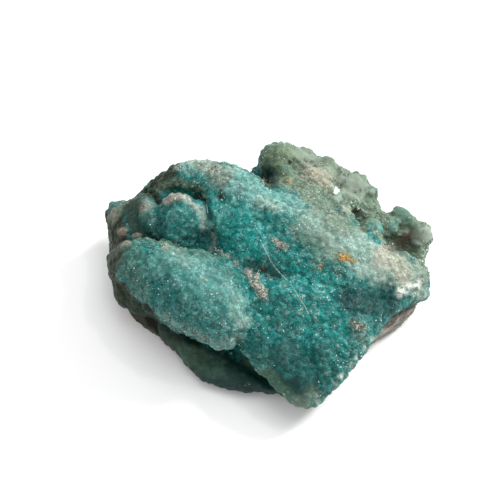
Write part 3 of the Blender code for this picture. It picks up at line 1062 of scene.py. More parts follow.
# Each zone's name, cells and radius, then its hue, weight, frost, bareness and swell.
ZONES = (
    # The broad tints, from the back to the front.
    Zone("back_base", ((296, 160), (345, 192), (385, 222), (425, 250)), 7.5, Hue.SAGE, 1.0,
         edge=0.35),
    Zone("back_smooth", ((298, 152), (330, 163), (352, 182), (374, 202), (400, 212), (425, 235),
                         (426, 262)), 3.0, bare=0.85),
    Zone("ridge_top", ((228, 178), (262, 194), (292, 206)), 3.6, Hue.PALE_TEAL, 0.9, 0.06, 0.2),
    Zone("ridge_end", ((318, 224), (350, 246), (380, 264)), 5.6, Hue.MILK, 0.75, 0.05, 0.35),
    Zone("ridge_face", ((262, 212), (290, 227), (312, 243)), 2.6, Hue.TEAL, 0.85),
    Zone("low_wall", ((216, 206), (224, 220), (237, 236), (252, 252)), 2.8, Hue.BRIGHT_TEAL, 1.0),
    Zone("wall_haze", ((220, 212), (240, 240)), 2.4, Hue.PALE_TEAL, 0.2),
    Zone("ridge_flank", ((232, 214), (262, 240), (292, 262), (330, 285)), 3.6, Hue.BRIGHT_TEAL,
         0.5),
    Zone("sage_slope", ((292, 182), (316, 202), (340, 220)), 4.6, Hue.SAGE, 0.85, 0.04),
    Zone("limonite_stain", ((338, 258), (350, 256)), 2.0, Hue.MOSS, 0.5),
    Zone("sage_mottle", ((300, 230), (325, 246), (318, 262)), 2.6, Hue.SAGE, 0.5),
    Zone("far_right", ((388, 262), (405, 272), (420, 280)), 4.6, Hue.GLASS, 0.75, 0.0, 0.3),
    Zone("sugar_right", ((384, 256), (400, 264), (402, 276)), 3.2, Hue.BEIGE, 0.4),
    Zone("right_hollow", ((352, 300), (370, 304), (386, 300)), 3.8, Hue.DEEP_TEAL, 1.0),
    Zone("valley", ((208, 222), (236, 260), (262, 271), (292, 290)), 2.6, Hue.BRIGHT_TEAL, 0.5),
    Zone("arch_left", ((146, 195), (158, 182), (170, 172)), 3.2, Hue.OLIVE, 0.95),
    Zone("arch_lip", ((160, 190), (178, 182), (196, 186), (206, 196)), 1.5, Hue.MOSS, 0.8),
    Zone("arch_haze", ((186, 164), (204, 166), (222, 176)), 2.8, Hue.GLASS, 0.75, 0.06),
    Zone("arch_teal", ((184, 172), (204, 180), (214, 196), (222, 208)), 2.0, Hue.BRIGHT_TEAL, 0.4),
    Zone("hollow", ((167, 195), (178, 192), (189, 193), (202, 204), (210, 218)), 1.7,
         Hue.BRIGHT_TEAL, 0.9, 0.0, 0.25),
    Zone("hollow_left", ((151, 196), (157, 204)), 1.7, Hue.OLIVE, 0.85, 0.0, 0.2),
    # Deep teal at the hollow's end is painted shade in the slot.
    Zone("hollow_end", ((199, 198), (206, 206), (210, 216)), 1.5, Hue.DEEP_TEAL, 0.9, 0.0, 0.4,
         0.4),
    Zone("finger_top", ((170, 258), (200, 278), (232, 312)), 4.6, Hue.PALE_TEAL, 0.42, 0.0, 0.3),
    Zone("nose_haze", ((236, 306), (242, 322)), 2.2, Hue.MILK, 0.6, 0.04),
    Zone("finger_back", ((190, 262), (216, 284), (240, 306)), 2.6, Hue.PALE_TEAL, 0.55, 0.04, 0.3),
    Zone("finger_haze", ((176, 250), (184, 262)), 2.0, Hue.MILK, 0.35, 0.04),
    Zone("finger_foot", ((166, 315), (184, 326), (218, 344), (240, 336)), 2.4, Hue.GLASS, 0.45,
         edge=1.0),
    Zone("finger_left", ((128, 245), (132, 270), (142, 290)), 3.4, Hue.GREEN, 0.5),
    # The left side and the left slope are olive, partly the crust's own colour and partly painted
    # shade on faces turned from the light.
    Zone("left_side", ((112, 226), (112, 258), (114, 285)), 5.8, Hue.OLIVE, 1.0, 0.0, 0.4),
    Zone("left_slope", ((132, 204), (138, 220), (146, 236)), 3.2, Hue.OLIVE, 0.8, 0.0, 0.4),
    Zone("slope_teal", ((150, 216), (153, 226)), 2.0, Hue.TEAL, 0.7, 0.0, 0.2),
    # The bulge is olive in the same way, and the zone after it adds painted shade below the
    # finger's edge.
    Zone("bulge", ((120, 290), (136, 301), (152, 312)), 3.8, Hue.OLIVE, 1.0, 0.0, 0.4),
    Zone("bulge_painted_shade", ((132, 298), (146, 306)), 2.4, Hue.PAINTED_SHADE_GREEN, 0.45, 0.0, 0.4),
    # The shelf is dark green painted shadow, cast by the finger and the tongue; the underside is
    # olive, partly its own colour and partly painted shade.
    Zone("shelf", ((205, 368), (250, 386), (290, 398)), 5.0, Hue.PAINTED_SHADE_GREEN, 0.95, 0.0, 0.6,
         edge=0.35),
    Zone("underside", ((118, 300), (140, 322), (165, 338), (185, 358)), 4.4, Hue.OLIVE, 0.9, 0.0,
         0.6, edge=0.35),
    Zone("shelf_pale", ((186, 352), (200, 361), (216, 368)), 2.8, Hue.GREEN, 0.45, 0.0, 0.4),
    Zone("tongue_top", ((268, 312), (298, 326), (330, 322)), 4.6, Hue.BRIGHT_TEAL, 0.25),
    # The tongue's deep teal is partly its own colour and partly painted shade, on the face that
    # slopes away from the light.
    Zone("tongue", ((286, 352), (300, 366), (306, 386)), 4.0, Hue.DEEP_TEAL, 0.6, 0.0, 0.2),
    Zone("tongue_rim", ((250, 358), (268, 374), (284, 390), (300, 406)), 1.8, Hue.GREEN, 0.7),
    Zone("tip", ((302, 404), (312, 398)), 2.6, Hue.SAGE, 0.5, 0.04),
    Zone("edge_haze", ((356, 334), (364, 338)), 2.0, Hue.SAGE, 0.4, 0.04, edge=1.0),
    # Milky, frosted spots along the broken edge are painted highlights: the glints of its broken
    # crystals.
    *mounds("edge_painted_glint", ((413, 305), (406, 310), (397, 316), (384, 327), (379, 331), (371, 339),
                           (364, 348), (356, 357), (351, 364), (341, 376), (335, 384), (318, 402)),
            0.65, hue=Hue.MILK, weight=0.5, frost=0.3),
    Zone("frost_rim", ((399, 292), (408, 288), (420, 283)), 1.3, Hue.WHITE, 0.6, 0.5, edge=0.9),
    # The bud, with a painted highlight on its rim and painted shade on its lower left face.
    Zone("bud_face", ((172, 222), (186, 222)), 3.2, Hue.BRIGHT_TEAL, 0.2),
    # Dark green on the bud's lower left face is painted shade.
    Zone("bud_painted_shade", ((162, 226), (166, 236)), 2.0, Hue.PAINTED_SHADE_GREEN, 0.4),
    Zone("bud_lobe", ((168, 202), (176, 199), (183, 200)), 1.4, Hue.PINK, 0.7, 0.06, 0.0, 0.5),
    # The bud's pale, frosted rim is a painted highlight, on its upper right where the light falls.
    Zone("bud_rim", ((182, 200), (190, 203), (198, 209), (202, 218), (201, 230)), 1.3, Hue.GLASS,
         0.65, 0.2, edge=0.9),
    Zone("bud_apron", ((150, 216), (156, 232), (172, 243), (188, 246)), 1.7, Hue.TEAL, 0.4, 0.0,
         0.3, 0.8),
    Zone("bud_foot", ((210, 224), (215, 238), (211, 251)), 1.1, Hue.GREY, 0.2, 0.2, edge=1.0),
    # The knobs of the back and right rims, and the pockets among them.
    Zone("back_knob", ((272, 156), (288, 154), (284, 166)), 3.4, Hue.MOSS, 0.95, 0.0, 0.4),
    Zone("back_knob_teal", ((286, 168), (294, 172)), 1.4, Hue.GREEN, 0.7, 0.0, 0.5),
    # The recess below the back knob is dark green painted shade.
    Zone("back_recess", ((258, 166), (267, 174), (270, 186)), 2.4, Hue.PAINTED_SHADE_GREEN, 1.0, 0.0, 0.7),
    Zone("inner_lobe", ((286, 187),), 2.1, Hue.SAGE, 0.8, 0.05, 0.3, 0.5),
    Zone("back_rim", ((304, 158), (318, 168), (330, 176)), 3.6, Hue.GLASS, 0.55, 0.0, 0.6, 0.4),
    Zone("back_sugar", ((310, 172), (322, 180), (330, 186)), 3.2, Hue.BEIGE, 0.6, 0.04, edge=1.0),
    Zone("glassy_lump", ((353, 189),), 3.3, Hue.GLASS, 0.95, 0.0, 1.0, 1.0),
    Zone("glassy_spike", ((371, 192),), 1.0, Hue.GLASS, 0.9, 0.0, 1.0, 0.8),
    Zone("pale_patch", ((334, 188), (338, 198)), 1.2, Hue.MILK, 0.8, 0.1, 0.6),
    Zone("beige_lobe", ((345, 213),), 1.9, Hue.BEIGE, 0.6, 0.0, 0.4, 0.5, edge=1.0),
    Zone("small_pocket", ((355, 214), (360, 222), (365, 229)), 1.1, Hue.BROWN, 0.9, 0.0, 0.6, -0.7,
         edge=1.0),
    Zone("teal_knob", ((373, 224),), 2.2, Hue.GREEN, 0.8, 0.04, 0.9, 0.9),
    Zone("teal_spot", ((378, 230),), 1.5, Hue.BRIGHT_TEAL, 0.6, 0.0, 0.6, edge=1.0),
    Zone("mid_knob", ((392, 226),), 1.6, Hue.PALE_TEAL, 0.5, 0.0, 0.6, 0.5, edge=1.0),
    Zone("green_knob", ((403, 216),), 2.0, Hue.GREEN, 0.9, 0.0, 0.9, 0.9),
    Zone("grey_knob", ((421, 235),), 2.3, Hue.GLASS, 0.9, 0.04, 0.6, 0.8),
    Zone("dark_knob", ((416, 250),), 1.5, Hue.MOSS, 0.9, 0.0, 0.9, 0.5),
    Zone("right_pocket", ((390, 247), (400, 243), (408, 236)), 2.2, Hue.BROWN, 1.0, 0.0, 0.6, -0.5,
         edge=1.0),
    Zone("pink_crust", ((383, 246),), 1.1, Hue.PINK, 0.8, 0.0, 0.5),
    Zone("rim_knob", ((424, 277),), 1.5, Hue.SAGE, 0.9, 0.0, 0.8, 0.5),
    *mounds("rim_bump", ((290, 144), (307, 152), (328, 161), (344, 172)), 1.2, hue=Hue.SAGE,
            bare=0.8, swell=0.5),
    # The knobs of the left end.
    Zone("corner_back", ((106, 205), (112, 200), (121, 199), (135, 195)), 3.0, Hue.GREY, 0.8,
         0.0, 0.2),
    Zone("corner_knob", ((117, 212),), 2.4, Hue.GREY, 0.9, 0.05, 0.2, 0.3),
    Zone("pink_knob", ((147, 208),), 1.7, Hue.PINK, 0.45, 0.08, 0.2, 0.5),
    Zone("side_knob", ((154, 222),), 1.6, Hue.GREY, 0.1, 0.03, 0.2, 0.4),
    *mounds("left_bead", ((125, 233), (127, 247), (137, 238)), 1.0, hue=Hue.PINK, weight=0.5,
            bare=0.15, swell=0.8),
    # Scallops along the finger's and the tongue's lower edges.
    *mounds("bulge_scallop", ((137, 303), (149, 309)), 1.2, swell=0.5),
    *mounds("scallop", ((163, 313), (178, 322), (190, 330), (202, 337),
                        (216, 344), (231, 343), (243, 335)), 1.2, hue=Hue.PALE_TEAL, weight=0.3,
            bare=0.3, swell=0.7),
    *mounds("tongue_scallop", ((247, 352), (255, 361), (263, 370), (272, 379), (281, 388),
                               (290, 397)), 1.1, swell=0.4),
    # Round bubbles, each a pale ring about a deeper eye.
    *mounds("bubble", BUBBLES, 0.8, bare=0.3, swell=0.25, edge=0.6, ring=0.35),
    *mounds("bubble_eye", BUBBLES, 0.42, hue=Hue.TEAL, weight=0.5),
    # Clear blades stand on the rims.
    Zone("rim_blades", ((300, 160), (335, 172), (364, 196), (378, 212)), 2.2, coarse=0.03),
    Zone("right_blades", ((398, 214), (424, 232), (424, 256), (424, 280)), 2.2, coarse=0.03),
    Zone("frost_blades", ((398, 291), (416, 287)), 1.2, coarse=0.25),
    Zone("ridge_blades", ((262, 202), (275, 208)), 1.8, Hue.MILK, 0.5, 0.06, coarse=0.2),
    # Dust in the creases, and painted shade in one crease.
    Zone("crease_painted_shade", ((249, 264), (262, 269), (277, 274)), 2.0, Hue.PAINTED_SHADE_GREEN, 0.65,
         edge=0.9),
    Zone("crease_dust", ((247, 272), (256, 284), (264, 296)), 1.2, Hue.TAN, 0.4),
    Zone("valley_dust", ((276, 241), (286, 247)), 0.9, Hue.TAN, 0.6),
    Zone("right_dust", ((352, 323), (362, 327)), 1.1, Hue.BROWN, 0.6),
    *mounds("dust_spot", ((166, 247), (229, 257), (236, 264), (262, 182), (214, 171), (330, 216)),
            0.8, hue=Hue.TAN, weight=0.5),
)


@dataclass
class Fields:
    """What the crust is like, with one value or row for each vertex.

    Attributes:
        tint: Its linear colour.
        frost: How frosted it is.
        bare: How bare of sugary grains it is.
        swell: How far it swells, mm.
        coarse: The chance of a clear blade.
    """

    tint: np.ndarray
    frost: np.ndarray
    bare: np.ndarray
    swell: np.ndarray
    coarse: np.ndarray


def ripple_at(points: np.ndarray, spacing: float) -> np.ndarray:
    """Smooth noise at each point, between about -1 and 1.

    Args:
        points: One row per point, mm.
        spacing: The noise's size, mm.

    Returns:
        One value per point.
    """
    return np.array([noise.noise(Vector(point)) for point in points / spacing])


def tinted(tint: np.ndarray, hue: Hue, share: np.ndarray) -> np.ndarray:
    """Mixes a hue into tints by a share for each row."""
    return tint + (np.array(hue.value) - tint) * share[:, None]


def band(values: np.ndarray, middle: float, reach: float) -> np.ndarray:
    """Picks out the values near a middle, as 1 there and 0 at the reach from it and beyond."""
    return np.clip(1.0 - np.abs(values - middle) / reach, 0.0, 1.0)


@dataclass(frozen=True)
class Wash:
    """A hue laid over the whole crust, the stronger the higher a measure of it is.

    Attributes:
        hue: The hue.
        gain: How strong it gets for each unit of the measure.
        start: Its strength where the measure is 0.
        most: The most strength it has.
    """

    hue: Hue
    gain: float
    start: float
    most: float

    def over(self, tint: np.ndarray, measure: np.ndarray) -> np.ndarray:
        """Lays the hue over tints, with one measure for each row."""
        return tinted(tint, self.hue, np.clip(measure * self.gain + self.start, 0.0, self.most))


BACK_WASH = Wash(Hue.MOSS, 1.4, -0.5, 0.7)
# Faces that look down are washed dark olive: painted shade under the overhangs.
UNDERCUT_PAINTED_SHADE = Wash(Hue.OLIVE, 1.5, 0.0, 0.8)
CREST_WASH = Wash(Hue.PALE_TEAL, 0.26, 0.0, 0.2)
BRIGHT_WASH = Wash(Hue.BRIGHT_TEAL, 0.35, -0.07, 0.175)
SAGE_WASH = Wash(Hue.SAGE, 0.35, -0.0525, 0.21)

# The coarse and the fine noise that zones' rims follow, and those of the cloudy patches, mm.
RIM_NOISE = (2.2, 0.8)
PATCH_NOISE = (3.4, 1.3)
# Where in the noise the coarse patches are taken, mm.
PATCH_SHIFT = 40.0
# Where in a bubble its pale ring is, and how far it reaches.
BUBBLE_RING = (0.32, 0.24)
# How much a hollow is darkened, as painted shade, and a crest frosts over, for each mm, and the
# most of each.
HOLLOW_PAINTED_SHADE, MOST_PAINTED_SHADE = 0.16, 0.1
CREST_FROST, MOST_FROST = 0.052, 0.04


def base_tint(normals: np.ndarray, hollow: np.ndarray, patches: np.ndarray) -> np.ndarray:
    """Works out the crust's tint before the zones are laid on it.

    Args:
        normals: One row per point.
        hollow: How sunken each point is, mm: above 0 in hollows, below 0 on crests.
        patches: Noise that clouds the tint, one value per point.

    Returns:
        One row per point.
    """
    tint = np.tile(np.array(Hue.TEAL.value), (len(normals), 1))
    tint = BACK_WASH.over(tint, normals[:, 1])
    # Downward faces take the olive painted shade.
    tint = UNDERCUT_PAINTED_SHADE.over(tint, -normals[:, 2])
    tint = CREST_WASH.over(tint, -hollow)
    return BRIGHT_WASH.over(tint, -patches)


def paint_fields(
    points: np.ndarray, normals: np.ndarray, hollow: np.ndarray, sight: Sight, surface: Surface
) -> Fields:
    """Works out what the crust is like at each point.

    Args:
        points: One row per point, mm.
        normals: One row per point.
        hollow: How sunken each point is, mm: above 0 in hollows, below 0 on crests.
        sight: The survey grid.
        surface: The skin the zones lie on.

    Returns:
        The fields at each point.
    """
    coarse_rim, fine_rim = RIM_NOISE
    ripple = ripple_at(points, coarse_rim) + ripple_at(points, fine_rim) / 2
    coarse_patch, fine_patch = PATCH_NOISE
    patches = ripple_at(points + PATCH_SHIFT, coarse_patch) + ripple_at(points, fine_patch) / 2
    tint = base_tint(normals, hollow, patches)
    frost, bare, swell, coarse = np.zeros((4, len(points)))
    for zone in ZONES:
        spine = zone.spine(sight, surface)
        if not len(spine):
            LOG.warning("zone %s is beside the crust", zone.name)
            continue
        nearness = zone.nearness(points, spine, ripple)
        mask = zone.mask(nearness)
        if zone.hue is not None:
            tint = tinted(tint, zone.hue, zone.weight * mask)
        if zone.ring:
            tint = tinted(tint, Hue.MILK, zone.ring * band(nearness, *BUBBLE_RING))
        frost = np.maximum(frost, zone.frost * mask)
        bare = np.maximum(bare, zone.bare * mask)
        coarse = np.maximum(coarse, zone.coarse * mask)
        swell += zone.swell * np.sqrt(1.0 - (1.0 - nearness) ** 2)
    tint = SAGE_WASH.over(tint, patches)
    # Hollows are darkened by how sunken they are: painted shade.
    tint *= (1.0 - np.clip(hollow * HOLLOW_PAINTED_SHADE, 0.0, MOST_PAINTED_SHADE))[:, None]
    frost = np.clip(frost + np.clip(-hollow * CREST_FROST, 0.0, MOST_FROST), 0.0, 1.0)
    return Fields(tint, frost, bare, swell, coarse)


# ---------------------------------------------------------------------------------------------
# The specimen's pieces
# ---------------------------------------------------------------------------------------------


@dataclass
class Crust:
    """The hemimorphite crust: a fine skin over the CAD solid, swollen into beads.

    Attributes:
        voxel: The skin's grid step, mm.
        smoothing: How many times the solid's facets are relaxed.
        relax_rounds: How many times a copy is relaxed, to tell hollows from crests.
        swell_spacing: The broad swellings' spacing, mm.
        swell_height: Their height, mm.
        swell_fill: Their radius, as a share of the spacing.
        bead_spacing: The beads' spacing, mm.
        bead_height: Their height, mm.
        bead_fill: Their radius, as a share of the spacing.
        bead_ring: How high on a bead its pale ring is, and how far it reaches.
        ring_patches: The size of the patches of ringed beads, mm.
        ring_shift: Where in the noise those patches are taken, mm.
        brighter: How much a ring lightens the tint.
        greying: How much it greys the tint.
        gap_below: The height on a bead below which it counts as a gap.
        painted_gap_shade: How much the gaps between beads are darkened, as painted shade.
        bare_flatness: How much of the relief is lost where the crust is bare.
        floor: The lowest place of the skin, mm.
        skin: The finished piece.
        fields: What each of its vertices is like.
        normals: Its vertex normals.
        points: Its vertices, mm.
    """

    voxel: float = 0.3
    smoothing: int = 4
    relax_rounds: int = 160
    swell_spacing: float = 2.3
    swell_height: float = 0.28
    swell_fill: float = 0.75
    bead_spacing: float = 1.1
    bead_height: float = 0.38
    bead_fill: float = 0.6
    bead_ring: Limits = (0.45, 0.35)
    ring_patches: float = 1.9
    ring_shift: float = 17.0
    brighter: float = 0.12
    greying: float = 0.2
    gap_below: float = 0.05
    painted_gap_shade: float = 0.16
    bare_flatness: float = 0.7
    floor: float = 0.25
    skin: Piece = field(init=False)
    fields: Fields = field(init=False)
    normals: np.ndarray = field(init=False)
    points: np.ndarray = field(init=False)

    def build(self, sight: Sight, finish: CrustFinish, groups: GrowthGroups) -> None:
        """Builds and dresses the skin.

        Args:
            sight: The survey grid.
            finish: The crust's finish.
            groups: The shared node groups.
        """
        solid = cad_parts["hemimorphite_crust"]
        self.skin = refined(solid, "crust", self.voxel, self.smoothing)
        points = read_points(self.skin)
        edges = read_edges(self.skin)
        normals = read_normals(self.skin)
        relaxed = smoothed(points, edges, self.relax_rounds)
        hollow = np.einsum("ij,ij->i", relaxed - points, normals)
        self.fields = paint_fields(points, normals, hollow, sight, Surface(self.skin))
        beads = self.domes(points, self.bead_spacing, self.bead_fill)
        self.ring_beads(points, beads)
        self.swell(points, normals, beads)
        set_smooth(self.skin, True)
        add_tint(self.skin, self.fields.tint, self.fields.frost)
        add_cover(self.skin, 1.0 - self.fields.bare)
        settle(self.skin, finish.make(groups))
        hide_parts("hemimorphite_crust")
        self.points, self.normals = read_points(self.skin), read_normals(self.skin)

    def ring_beads(self, points: np.ndarray, beads: np.ndarray) -> None:
        """Gives some beads a pale ring, and darkens the gaps between them with painted shade.

        Args:
            points: The vertices before they are raised, mm.
            beads: How high on a bead each one is, from 0 to 1.
        """
        fields = self.fields
        covered = 1.0 - fields.bare
        chance = np.clip(0.5 + ripple_at(points + self.ring_shift, self.ring_patches), 0.0, 1.0)
        ring = band(beads, *self.bead_ring) * chance
        greyer = fields.tint.max(axis=1)[:, None] - fields.tint
        lift = self.brighter * fields.tint + self.greying * greyer
        fields.tint += (ring * covered)[:, None] * lift
        # The gaps between beads are darkened: painted shade in the crevices.
        gaps = covered * (beads < self.gap_below)
        fields.tint *= (1.0 - self.painted_gap_shade * gaps)[:, None]

    def swell(self, points: np.ndarray, normals: np.ndarray, beads: np.ndarray) -> None:
        """Raises the knobs, swellings and beads along the normals.

        Args:
            points: The vertices, mm.
            normals: Their normals.
            beads: How high on a bead each one is, from 0 to 1.
        """
        lift = self.domes(points, self.swell_spacing, self.swell_fill) * self.swell_height
        lift += beads * self.bead_height
        lift = lift * (1.0 - self.bare_flatness * self.fields.bare) + self.fields.swell
        lift -= self.swell_height / 2
        moved = points + normals * lift[:, None]
        moved[:, 2] = np.maximum(moved[:, 2], self.floor)
        write_points(self.skin, moved)

    @staticmethod
    def domes(points: np.ndarray, spacing: float, fill: float) -> np.ndarray:
        """The height of close-packed domes at each point, from 0 to 1.

        Args:
            points: One row per point, mm.
            spacing: The domes' spacing, mm.
            fill: The domes' radius, as a share of the spacing.

        Returns:
            One value per point.
        """
        gaps = [noise.voronoi(Vector(point))[0][0] for point in points / spacing]
        return np.sqrt(np.clip(1.0 - (np.array(gaps) / fill) ** 2, 0.0, 1.0))


@dataclass(frozen=True)
class Form:
    """A small closed form to be stamped many times.

    Attributes:
        points: One row per point.
        faces: Each face's point numbers.
    """

    points: np.ndarray
    faces: tuple[tuple[int, ...], ...]


def crystal(width: float, thickness: float, shoulder: float, root: float) -> Form:
    """Makes a bladed crystal with a chisel tip, one unit high.

    Args:
        width: Its width at the foot.
        thickness: Its thickness at the foot.
        shoulder: The height where the tip starts.
        root: How far it reaches below the surface that it grows from.

    Returns:
        The form.
    """
    half, thin, tip = width / 2, thickness / 2, width / 4
    corners = ((-half, -thin), (half, -thin), (half, thin), (-half, thin))
    points = [(x, y, height) for height in (-root, shoulder) for x, y in corners]
    points += [(-tip, 0.0, 1.0), (tip, 0.0, 1.0)]
    faces = ((3, 2, 1, 0), (0, 1, 5, 4), (1, 2, 6, 5), (2, 3, 7, 6), (3, 0, 4, 7), (4, 5, 9, 8),
             (6, 7, 8, 9), (5, 6, 9), (7, 4, 8))
    return Form(np.array(points), faces)


def unit_rows(rows: np.ndarray) -> np.ndarray:
    """Scales each row to length 1."""
    return rows / np.maximum(np.linalg.norm(rows, axis=1), TINY)[:, None]


def spread_out(points: np.ndarray, order: np.ndarray, gap: float) -> np.ndarray:
    """Picks points so that no two are closer together than a gap.

    Args:
        points: One row per point, mm.
        order: The points' numbers, the first to be picked first.
        gap: The least distance, mm.

    Returns:
        The picked points' numbers.
    """
    cells: dict[tuple[int, int, int], list[int]] = {}
    kept = []
    places = np.floor(points / gap).astype(int)
    near = [(x, y, z) for x in (-1, 0, 1) for y in (-1, 0, 1) for z in (-1, 0, 1)]
    rows = points.tolist()
    for index in order.tolist():
        x, y, z = places[index].tolist()
        point = rows[index]
        crowded = any(
            math.dist(point, rows[other]) < gap
            for dx, dy, dz in near
            for other in cells.get((x + dx, y + dy, z + dz), ())
        )
        if not crowded:
            cells.setdefault((x, y, z), []).append(index)
            kept.append(index)
    return np.array(kept)


def stamp(
    name: str,
    form: Form,
    centres: np.ndarray,
    axes: np.ndarray,
    sizes: np.ndarray,
    rng: np.random.Generator,
    unevenness: float = 0.0,
) -> Piece:
    """Stamps many small copies of one form into a single mesh.

    Args:
        name: The mesh object's name.
        form: The form.
        centres: Where each copy's foot is, mm.
        axes: Which way each copy points.
        sizes: Each copy's width, thickness and height, mm.
        rng: Turns each copy about its axis.
        unevenness: How far each point strays, as a share of the copy's size.

    Returns:
        The object.
    """
    shape, faces = form.points, form.faces
    up = unit_rows(axes)
    side = unit_rows(np.cross(up, rng.normal(size=up.shape)))
    other = np.cross(up, side)
    varied = shape[None, :, :] + rng.normal(size=(len(centres), *shape.shape)) * unevenness
    scaled = varied * sizes[:, None, :]
    points = centres[:, None, :] + scaled[:, :, 0:1] * side[:, None, :]
    points = points + scaled[:, :, 1:2] * other[:, None, :] + scaled[:, :, 2:3] * up[:, None, :]
    flat = np.concatenate([np.array(face) for face in faces])
    offsets = np.arange(len(centres)) * len(shape)
    corners = (flat[None, :] + offsets[:, None]).ravel()
    counts = np.tile([len(face) for face in faces], len(centres))
    return object_from_arrays(name, points.reshape(-1, 3), corners, counts)


BLADE_FORM = crystal(width=1.0, thickness=0.64, shoulder=0.52, root=0.45)


@dataclass(frozen=True)
class Growth:
    """One habit of the druse.

    Attributes:
        name: The piece's name.
        form: The crystals' form.
        gap: The least distance between two crystals, mm.
        width: The least and the most width, mm.
        height: The least and the most height, mm.
        tilt: How far the crystals lean from the normal.
        thickness: The least and the most thickness, as a share of the width.
        scatter: How far they stray from the crust's vertices, mm.
        unevenness: How far their points stray, as a share of their size.
    """

    name: str
    form: Form
    gap: float
    width: Limits
    height: Limits
    tilt: float = 0.45
    thickness: Limits = (0.75, 1.05)
    scatter: float = 0.05
    unevenness: float = 0.0

    def grow(self, crust: Crust, share: np.ndarray, rng: np.random.Generator) -> Piece:
        """Grows crystals at some of the crust's vertices.

        Args:
            crust: The crust they grow from.
            share: The vertices' numbers.
            rng: Sets each crystal's size, turn and tilt.

        Returns:
            The piece, with its tint stored.
        """
        count = len(share)
        width = rng.uniform(*self.width, count)
        height = rng.uniform(*self.height, count)
        centres = crust.points[share] + rng.normal(size=(count, 3)) * self.scatter
        axes = crust.normals[share] + rng.normal(size=(count, 3)) * self.tilt
        sizes = np.column_stack([width, width * rng.uniform(*self.thickness, count), height])
        piece = stamp(self.name, self.form, centres, axes, sizes, rng, self.unevenness)
        tint = np.repeat(crust.fields.tint[share], len(self.form.points), axis=0)
        frost = np.repeat(crust.fields.frost[share], len(self.form.points))
        add_tint(piece, tint, frost)
        return piece


SPARKS = Growth("bright_crystals", BLADE_FORM, gap=0.36, width=(0.10, 0.30), height=(0.04, 0.15))
BLADES = Growth("clear_crystals", BLADE_FORM, gap=1.1, width=(0.3, 0.6), height=(0.4, 0.8))
# The sparks are lightened up to 1.8 times the crust's tint, a painted glow, and two fifths of them
# are paled towards near-white: painted highlights for glints.
SPARK_FINISH = DruseFinish(
    "bright_crystals", clear=0.0, body=1.0, pale_from=0.6, pale=0.8, shades=(1.0, 1.8),
    roughness=(0.03, 0.22), milk=(0.85, 0.90, 0.88),
)
BLADE_FINISH = DruseFinish("clear_crystals", clear=0.85, body=0.15, pale_from=0.9, pale=0.3)


@dataclass
class Druse:
    """The sugary coat: small bright crystals in uneven drifts, and clear blades on the rims.

    Attributes:
        seed: Sets where the crystals stand.
        lowest: The lowest place where they grow, mm.
        undercut: How far a face may look down and still carry them.
        drift: The drifts' size, mm.
        even: The share of the sparks that don't gather in drifts.
        drift_gain: How strongly the others do.
        share: The chance of a spark at a vertex in a full drift.
        dark: The tint below which the crust carries fewer sparks.
        fewest: The share that the darkest crust still carries, before it is squared.
        frosted: How many more sparks grow on frost.
        clean: The share of sparks that grow where there is none.
    """

    seed: int = 7
    lowest: float = 0.7
    undercut: float = -0.2
    drift: float = 2.4
    even: float = 0.3
    drift_gain: float = 1.3
    share: float = 0.32
    dark: float = 0.12
    fewest: float = 0.05
    frosted: float = 2.0
    clean: float = 0.6

    def build(self, crust: Crust, groups: GrowthGroups) -> list[Piece]:
        """Grows the crystals and dresses them.

        Args:
            crust: The crust they grow from.
            groups: The shared node groups.

        Returns:
            The pieces.
        """
        rng = np.random.default_rng(self.seed)
        fields = crust.fields
        open_air = (crust.normals[:, 2] > self.undercut) & (crust.points[:, 2] > self.lowest)
        drifts = self.even + self.drift_gain * ripple_at(crust.points, self.drift)
        drifts = np.clip(drifts, 0.0, 1.0)
        drifts *= np.clip(fields.tint.max(axis=1) / self.dark, self.fewest, 1.0) ** 2
        sparks = drifts * self.share * (1.0 - fields.bare)
        sparks *= self.clean + self.frosted * fields.frost
        habits = ((SPARKS, SPARK_FINISH, sparks), (BLADES, BLADE_FINISH, fields.coarse))
        pieces = []
        for growth, finish, chance in habits:
            chosen = np.flatnonzero(open_air & (rng.random(len(chance)) < chance))
            share = spread_out(crust.points, rng.permutation(chosen), growth.gap)
            pieces.append(growth.grow(crust, share, rng))
            settle(pieces[-1], finish.make(groups))
        return pieces


